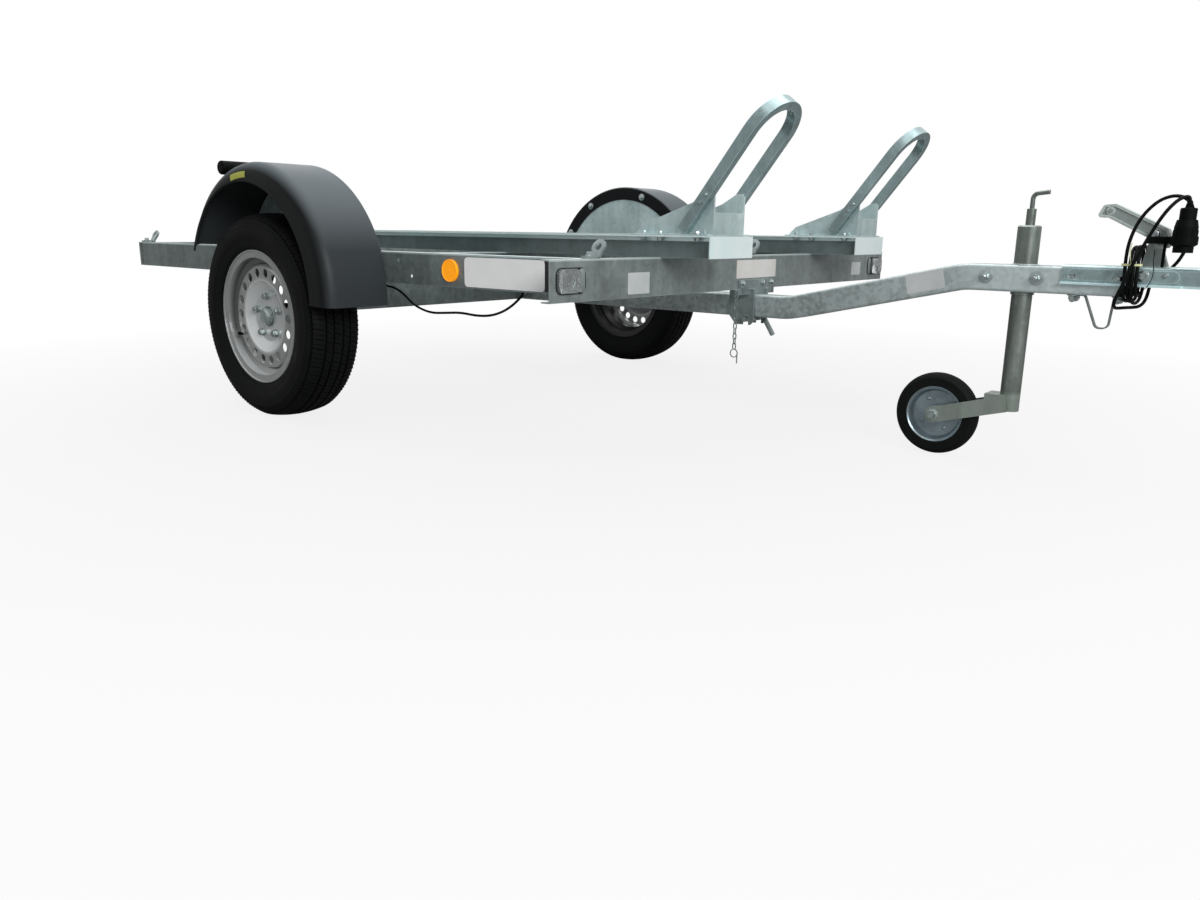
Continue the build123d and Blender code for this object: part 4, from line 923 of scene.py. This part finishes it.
class TRAILER_OT_fasteners(bpy.types.Operator):
    """Adds the bolts of bed, drawbar, coupling, fenders and stand"""

    bl_idname = "trailer.fasteners"
    bl_label = "Fasteners"

    def execute(self, context):
        self.add_bed_bolts(sizes().bolt_across)
        self.add_drawbar_bolts(sizes().bolt_across)
        self.add_stand_bolts(sizes().bolt_across)
        return {"FINISHED"}

    def add_bed_bolts(self, across):
        bm = bmesh.new()

        def bolt(x, y, z, way, size, washer):
            add_bolt(bm, at(x, y, z), way, across * size, washer)

        for side in (-1, 1):
            rail, inward = side * RAIL_Y, (0, -side, 0)
            # Holder feet on the rails' edges
            for dy in (-0.079, 0.079):
                for x in (1.0125, 1.062, 1.166):
                    bolt(x, rail + dy, 0.520, UP, 0.75, 1.5)
                    bolt(x, rail + dy, 0.5135, DOWN, 0.9, 1.9)
            # Hoop legs, through the holder's side plates
            for sign in (-1, 1):
                for x, z in ((1.176, 0.589), (1.190, 0.6065)):
                    bolt(x, rail + sign * 0.085, z, (0, sign, 0), 0.5, 1.3)
            # Rails on the cross channels, heads in the trough
            for x in (1.035, 0.52, -0.48, -1.04):
                for dy in (-0.035, 0.035):
                    bolt(x, rail + dy, 0.4685, UP, 1.0, 2.2)
            # Fender skirts on their plates
            for angle in (14, 42, 73, 121, 148):
                spot = on_circle(FENDER_X, side * 0.708, FENDER_Z, 0.322, math.radians(angle))
                add_bolt(bm, spot, inward, across * 0.92, 2.2)
            # Fender plates on the side channels
            for x in (-0.20, 0.24):
                bolt(x, side * 0.709, 0.446, inward, 1.0, 2.0)
            # Axle pads
            for x in (0.072, 0.188):
                bolt(x, side * 0.700, 0.380, DOWN, 1.2, 2.0)
        # Lashing eyes' feet, three in front and two behind
        front_eyes = [(1.0445, y) for y in (-0.6885, -0.0335, 0.6885)]
        for x, y in front_eyes + [(-1.0475, -0.6885), (-1.0475, 0.6885)]:
            bolt(x, y, 0.472, UP, 0.9, 1.5)
        # Saddle on the front channel, pivot of the drawbar
        for y in (-0.076, 0.029, 0.076):
            bolt(1.062, y, 0.391, AHEAD, 0.9, 1.9)
        for sign in (-1, 1):
            bolt(0.215, sign * 0.044, 0.331, (0, sign, 0), 1.3, 1.7)
        make_piece("Bed_Bolts", bm, "Bright_Plating", "bed")

    def add_drawbar_bolts(self, across):
        bm = bmesh.new()
        # X, Z, Y of the right face and of the left one, size of the head, of its washer and its stud
        rows = (
            (1.6760, 0.4345, 0.0300, 0.0300, 1.10, 2.2, 0.006),
            (1.7850, 0.4345, 0.0300, 0.0300, 1.10, 2.2, 0.006),
            (1.8590, 0.441, 0.0302, 0.0302, 0.62, 0, 0), (1.9460, 0.440, 0.0302, 0.0302, 0.62, 0, 0),
            (1.9920, 0.447, 0.0355, 0.0355, 1.05, 1.7, 0), (2.0330, 0.450, 0.0355, 0.0355, 0.62, 0, 0),
            (1.9970, 0.531, 0.0205, 0.0151, 0.95, 1.6, 0), (1.9110, 0.579, 0.0151, 0.0151, 0.60, 0, 0),
        )
        for x, z, right_y, left_y, size, washer, stud in rows:
            for sign, y in ((-1, right_y), (1, left_y)):
                add_bolt(bm, at(x, sign * y, z), (0, sign, 0), across * size, washer, stud=stud)
        # Coupling head on the drawbar, from below
        for x in (1.859, 1.947):
            for y in (-0.016, 0.016):
                add_bolt(bm, at(x, y, 0.402), DOWN, across * 1.1, 1.6, domed=True)
        make_piece("Drawbar_Bolts", bm, "Bright_Plating", "drawbar")

    def add_stand_bolts(self, across):
        bolt, disc = bmesh.new(), bmesh.new()
        rivet = [(0, 0.0048), (0.0018, 0.0044), (0.003, 0.0026), (0.0033, 0.0)]
        rim = [(0.0, 0.064), (0.0022, 0.0665), (0.0022, 0.0700), (0.0, 0.0715)]
        hub = [(0.0, 0.021), (0.003, 0.0205), (0.0042, 0.0165), (0.0042, 0.0125), (0.0, 0.0125)]
        for sign in (-1, 1):
            way = (0, sign, 0)
            add_bolt(bolt, at(STAND_X, sign * 0.031, STAND_Z), way, across * 1.35, 1.6)
            for k in range(4):
                spot = on_circle(STAND_X, sign * 0.005, STAND_Z, 0.040, math.radians(32 + 90 * k))
                add_turned(disc, rivet, spot, way, 16)
            add_turned(disc, rim + rim[:1], at(STAND_X, sign * 0.0195, STAND_Z), way, 64)
            add_turned(disc, hub + hub[:1], at(STAND_X, sign * 0.0175, STAND_Z), way, 36)
        make_piece("Fork_Bolt", bolt, "Bright_Plating", "jockey_column")
        make_piece("Jockey_Rivets", disc, "Stand_Disc", "jockey_wheel")


# Blank plates and films


class TRAILER_OT_plates(bpy.types.Operator):
    """Adds the blank plates and labels"""

    bl_idname = "trailer.plates"
    bl_label = "Blank Plates"

    def execute(self, context):
        slope = math.atan2(0.101, 0.448)
        along = (math.cos(slope), 0, math.sin(slope))
        rise = (-math.sin(slope), 0, math.cos(slope))
        bar, front = (along, rise, (0, -1, 0)), (ACROSS, UP, AHEAD)
        film = self.add_film
        film("Drawbar_Plate", (1.536, -0.030, 0.4165), bar, (0.092, 0.046, 0.002), "Silver_Film", "drawbar")
        film("Channel_Plate", (1.057, -0.5255, 0.4085), front, (0.081, 0.049, 0.002), "Silver_Film")
        film("Channel_Label", (1.057, 0.0015, 0.4295), front, (0.206, 0.048, 0.003), "Label_Film")
        for side, sign in SIDES:
            flank, y, z = (AHEAD, UP, (0, sign, 0)), sign * 0.712, 0.4245
            film(f"Side_Film_{side}", (0.802, y, z), flank, (0.266, 0.070, 0.010), "White_Film")
            # A near-black strip just ahead of the film: a painted shadow in the step at the channel's front
            # end
            film(f"Side_Shadow_Strip_{side}", (0.942, y, z), flank, (0.012, 0.070, 0.001), "Black_Film")
        film("Small_Label", (1.057, 0.627, 0.4155), front, (0.066, 0.040, 0.002), "Silver_Film")
        self.add_fender_label()
        return {"FINISHED"}

    def add_film(self, name, middle, axes, size, look, body="bed"):
        """A film; axes are its right, its up and the way that it faces, size has the corners' radius."""
        right, up, face = axes
        bm = bmesh.new()
        add_prism(bm, rounded(at(*middle), right, up, *size), Vector(face) * sizes().plate_thickness)
        make_piece(name, bm, look, body)

    def add_fender_label(self):
        """Small film on the right fender's face, above the opening."""
        bm = bmesh.new()
        # Radius where the face starts to round off, radius of that round and its centre's distance
        flat_r, shoulder, shoulder_y = 0.312, 0.036, 0.864
        proud = 0.00003
        rows = []
        for r in (0.3065, 0.3095, 0.3125, 0.3150, 0.3175, 0.3200, 0.3225):
            rise = max(0.0, r - flat_r)
            y = -(shoulder_y + math.sqrt(shoulder ** 2 - rise ** 2)) - proud
            angles = [math.radians(103.1 - 13.8 * k / 8) for k in range(9)]
            rows.append([bm.verts.new(on_circle(FENDER_X, y, FENDER_Z, r, a)) for a in angles])
        join_rows(bm, rows, closed=False)
        make_piece("Fender_Label", bm, "Yellow_Film", "bed")


# Lamps


class TRAILER_OT_lamps(bpy.types.Operator):
    """Builds the front lamps, the rear lamps and the reflectors' rims"""

    bl_idname = "trailer.lamps"
    bl_label = "Lamps"

    def execute(self, context):
        self.add_front()
        self.add_rear()
        self.add_reflectors()
        return {"FINISHED"}

    def add_front(self):
        bowl_y = 0.0115
        bowl = [(0.0003, 0.0175), (0.0004, 0.0155), (-0.001, 0.014), (-0.0035, 0.008), (-0.0045, 0.0)]
        bulb = [(-0.004, 0.005), (-0.001, 0.0045), (0.0, 0.002), (0.0002, 0.0)]
        screw = [(0.0, 0.0022), (0.0006, 0.0018), (0.0007, 0.0)]
        for side, sign in SIDES:
            middle = at(1.057, sign * 0.7615, 0.421)

            def block(name, ahead, dy, width, height, corner, deep, look, bevel=0.0):
                bm = bmesh.new()
                spot = middle + Vector((ahead, sign * dy, 0))
                add_prism(bm, rounded(spot, ACROSS, UP, width, height, corner, 6), Vector((deep, 0, 0)))
                return make_piece(f"Front_Lamp_{name}_{side}", bm, look, "bed", bevel=bevel)

            base = block("Recess", 0.0, 0.0, 0.095, 0.056, 0.016, 0.0016, "Dark_Hollow")
            block("Tab", 0.0016, -0.0345, 0.0185, 0.0510, 0.008, 0.0010, "Frame_Zinc", 0.0004)
            block("Body", 0.0016, bowl_y, 0.070, 0.052, 0.013, 0.0052, "Lamp_Mirror", 0.0006)
            block("Lens", 0.0074, bowl_y, 0.067, 0.049, 0.012, 0.0038, "Clear_Lens", 0.0012)
            centre = middle + Vector((0.0069, sign * bowl_y, 0))
            heads = [centre + Vector((0.0043, dy, -0.003)) for dy in (-0.027, 0.027)]
            for name, profile, spots, segments, look in (
                ("Bowl", bowl, [centre], 32, "Bright_Plating"),
                ("Bulb", bulb, [centre], 20, "Dark_Hollow"),
                ("Screws", screw, heads, 16, "Bright_Plating"),
            ):
                bm = bmesh.new()
                for spot in spots:
                    add_turned(bm, profile, spot, AHEAD, segments)
                make_piece(f"Front_Lamp_{name}_{side}", bm, look, "bed")
            if side == "right":
                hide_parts("front_lamps")

    def add_rear(self):
        low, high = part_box("rear_lamps")
        for side, sign in SIDES:
            bm = bmesh.new()
            middle = Vector((low.x + 0.014, sign * 0.600, (low.z + high.z) / 2))
            add_prism(bm, rounded(middle, ACROSS, UP, 0.150, 0.062, 0.008, 5), Vector((0.022, 0, 0)))
            name = f"Rear_Lamp_Body_{side}"
            make_piece(name, bm, "Black_Plastic", "bed", bevel=0.001)
            # Name, centre and width along Y, finish, slot
            rows = (
                ("Turn", 0.0465, 0.047, "Amber_Lens", "amber_lens"),
                ("Stop", -0.0015, 0.046, "Red_Lens", "red_lens"),
                ("Tail", -0.0485, 0.045, "Red_Lens", "red_lens"),
            )
            for name, dy, width, look, slot in rows:
                bm = bmesh.new()
                spot = Vector((low.x, middle.y + sign * dy, middle.z))
                add_prism(bm, rounded(spot, ACROSS, UP, width, 0.056, 0.005, 4), Vector((0.0145, 0, 0)))
                make_piece(f"Rear_Lamp_{name}_{side}", bm, look, "bed", bevel=0.002)
        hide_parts("rear_lamps")

    def add_reflectors(self):
        ring = [(-0.0005, 0.0272), (0.0012, 0.0268), (0.0012, 0.0248), (0.0004, 0.0240), (-0.0005, 0.0240)]
        bm = bmesh.new()
        for sign in (-1, 1):
            spot, out = at(0.620, sign * 0.718, 0.426), (0, sign, 0)
            add_turned(bm, ring + ring[:1], spot, out, 48)
            add_turned(bm, [(0.0, 0.0022), (0.0008, 0.0018), (0.001, 0.0)], spot, out, 16)
        make_piece("Reflector_Rims", bm, "Amber_Lens", "bed")


# Trim: fender beads, weld beads and a thin wire


class TRAILER_OT_trim(bpy.types.Operator):
    """Adds the fenders' rolled edges, weld beads and the coupling's thin wire"""

    bl_idname = "trailer.trim"
    bl_label = "Trim"

    def execute(self, context):
        for side, sign in SIDES:
            self.add_fender_bead(side, sign)
        bm = bmesh.new()
        for side in (-1, 1):
            rail = side * RAIL_Y
            for dy in (-0.0655, 0.0655):
                self.add_weld(bm, at(1.118, rail + dy, 0.5225), at(1.158, rail + dy, 0.5225), 0.0028, 900)
            self.add_weld(bm, at(1.2005, rail - 0.060, 0.517), at(1.2005, rail + 0.060, 0.517), 0.0022, 900)
        for dy in (-0.0372, 0.0372):
            self.add_weld(bm, at(1.0, dy, 0.3755), at(1.074, dy, 0.3755), 0.0026, 800)
        make_piece("Bed_Welds", bm, "Frame_Zinc", "bed")
        # Sleeve on the drawbar's top
        bm = bmesh.new()
        turns = [math.tau * k / 26 for k in range(27)]
        spots = [at(1.75 + 0.0258 * math.cos(a), 0.0258 * math.sin(a), 0.4625) for a in turns]
        for first, last in zip(spots, spots[1:]):
            self.add_weld(bm, first, last, 0.0022, 800)
        make_piece("Sleeve_Weld", bm, "Bar_Zinc", "drawbar")
        # Thin wire that hangs from the lever's tower past the coil
        wire = places(
            (2.004, -0.022, 0.500), (2.006, -0.036, 0.482), (2.010, -0.0415, 0.462), (2.010, -0.0425, 0.446),
            (2.006, -0.0435, 0.432), (1.999, -0.044, 0.420), (1.990, -0.046, 0.414),
        )
        make_line("Thin_Wire", wire, 0.0016, "Black_Plastic", "drawbar")
        return {"FINISHED"}

    def add_weld(self, bm, first, last, radius, lumps):
        """A lumpy bead between two points."""
        whole = (last - first).length
        count = max(4, int(whole / 0.0022))
        profile = [(0.0, 0.0)]
        for k in range(count + 1):
            along = whole * k / count
            swell = 0.82 + 0.18 * abs(math.sin(along * lumps))
            swell += 0.12 * noise.noise(first * 40 + Vector((along * 300, 0, 0)))
            profile.append((along, radius * swell))
        profile.append((whole, 0.0))
        add_turned(bm, profile, first, last - first, 8)

    def add_fender_bead(self, side, sign):
        """Rolled edge round the opening, from its front end over the wheel to its rear end."""
        bm = bmesh.new()
        radius, count, around = 0.2995, 72, 10
        rows = []
        for k in range(count + 1):
            a = math.radians(-10.5 + 180.0 * k / count)
            a = max(math.radians(-3.0), min(math.radians(158.5), a))
            centre = on_circle(-0.01, sign * 0.8968, FENDER_Z, radius, a)
            n = Vector((math.cos(a), 0, math.sin(a)))
            ring = []
            for m in range(around):
                b = math.tau * m / around
                ring.append(centre + n * 0.0032 * math.cos(b) + Vector((0, 0.0030 * math.sin(b), 0)))
            if not rows or (rows[-1][0].co - ring[0]).length > 1e-5:
                rows.append([bm.verts.new(spot) for spot in ring])
        join_rows(bm, rows)
        bm.faces.new(rows[0])
        bm.faces.new(list(reversed(rows[-1])))
        make_piece(f"Fender_Bead_{side}", bm, "Fender_Plastic", "bed")


CLASSES = (
    TrailerSizes,
    TrailerColours,
    TRAILER_OT_stage,
    TRAILER_OT_cords,
    TRAILER_OT_finishes,
    TRAILER_OT_road_tyres,
    TRAILER_OT_wheel_fittings,
    TRAILER_OT_fasteners,
    TRAILER_OT_plates,
    TRAILER_OT_lamps,
    TRAILER_OT_trim,
)


class TRAILER_PT_panel(bpy.types.Panel):
    """Lists the trailer's operators"""

    bl_idname = "TRAILER_PT_panel"
    bl_label = "Motorcycle Trailer"
    bl_space_type = "VIEW_3D"
    bl_region_type = "UI"
    bl_category = "Trailer"

    def draw(self, context):
        layout = self.layout
        for group in (context.scene.trailer_sizes, context.scene.trailer_colours):
            column = layout.column(align=True)
            for key in group.bl_rna.properties.keys():
                if key not in {"rna_type", "name"}:
                    column.prop(group, key)
        for kind in CLASSES[2:]:
            layout.operator(kind.bl_idname)


def register():
    for kind in CLASSES + (TRAILER_PT_panel,):
        bpy.utils.register_class(kind)
    bpy.types.Scene.trailer_sizes = PointerProperty(type=TrailerSizes)
    bpy.types.Scene.trailer_colours = PointerProperty(type=TrailerColours)


def unregister():
    del bpy.types.Scene.trailer_colours
    del bpy.types.Scene.trailer_sizes
    for kind in reversed(CLASSES + (TRAILER_PT_panel,)):
        bpy.utils.unregister_class(kind)


def main():
    register()
    bpy.ops.trailer.stage()
    bpy.ops.trailer.cords()
    bpy.ops.trailer.finishes()
    bpy.ops.trailer.road_tyres()
    bpy.ops.trailer.wheel_fittings()
    bpy.ops.trailer.fasteners()
    bpy.ops.trailer.plates()
    bpy.ops.trailer.lamps()
    bpy.ops.trailer.trim()


if __name__ == "__main__":
    main()
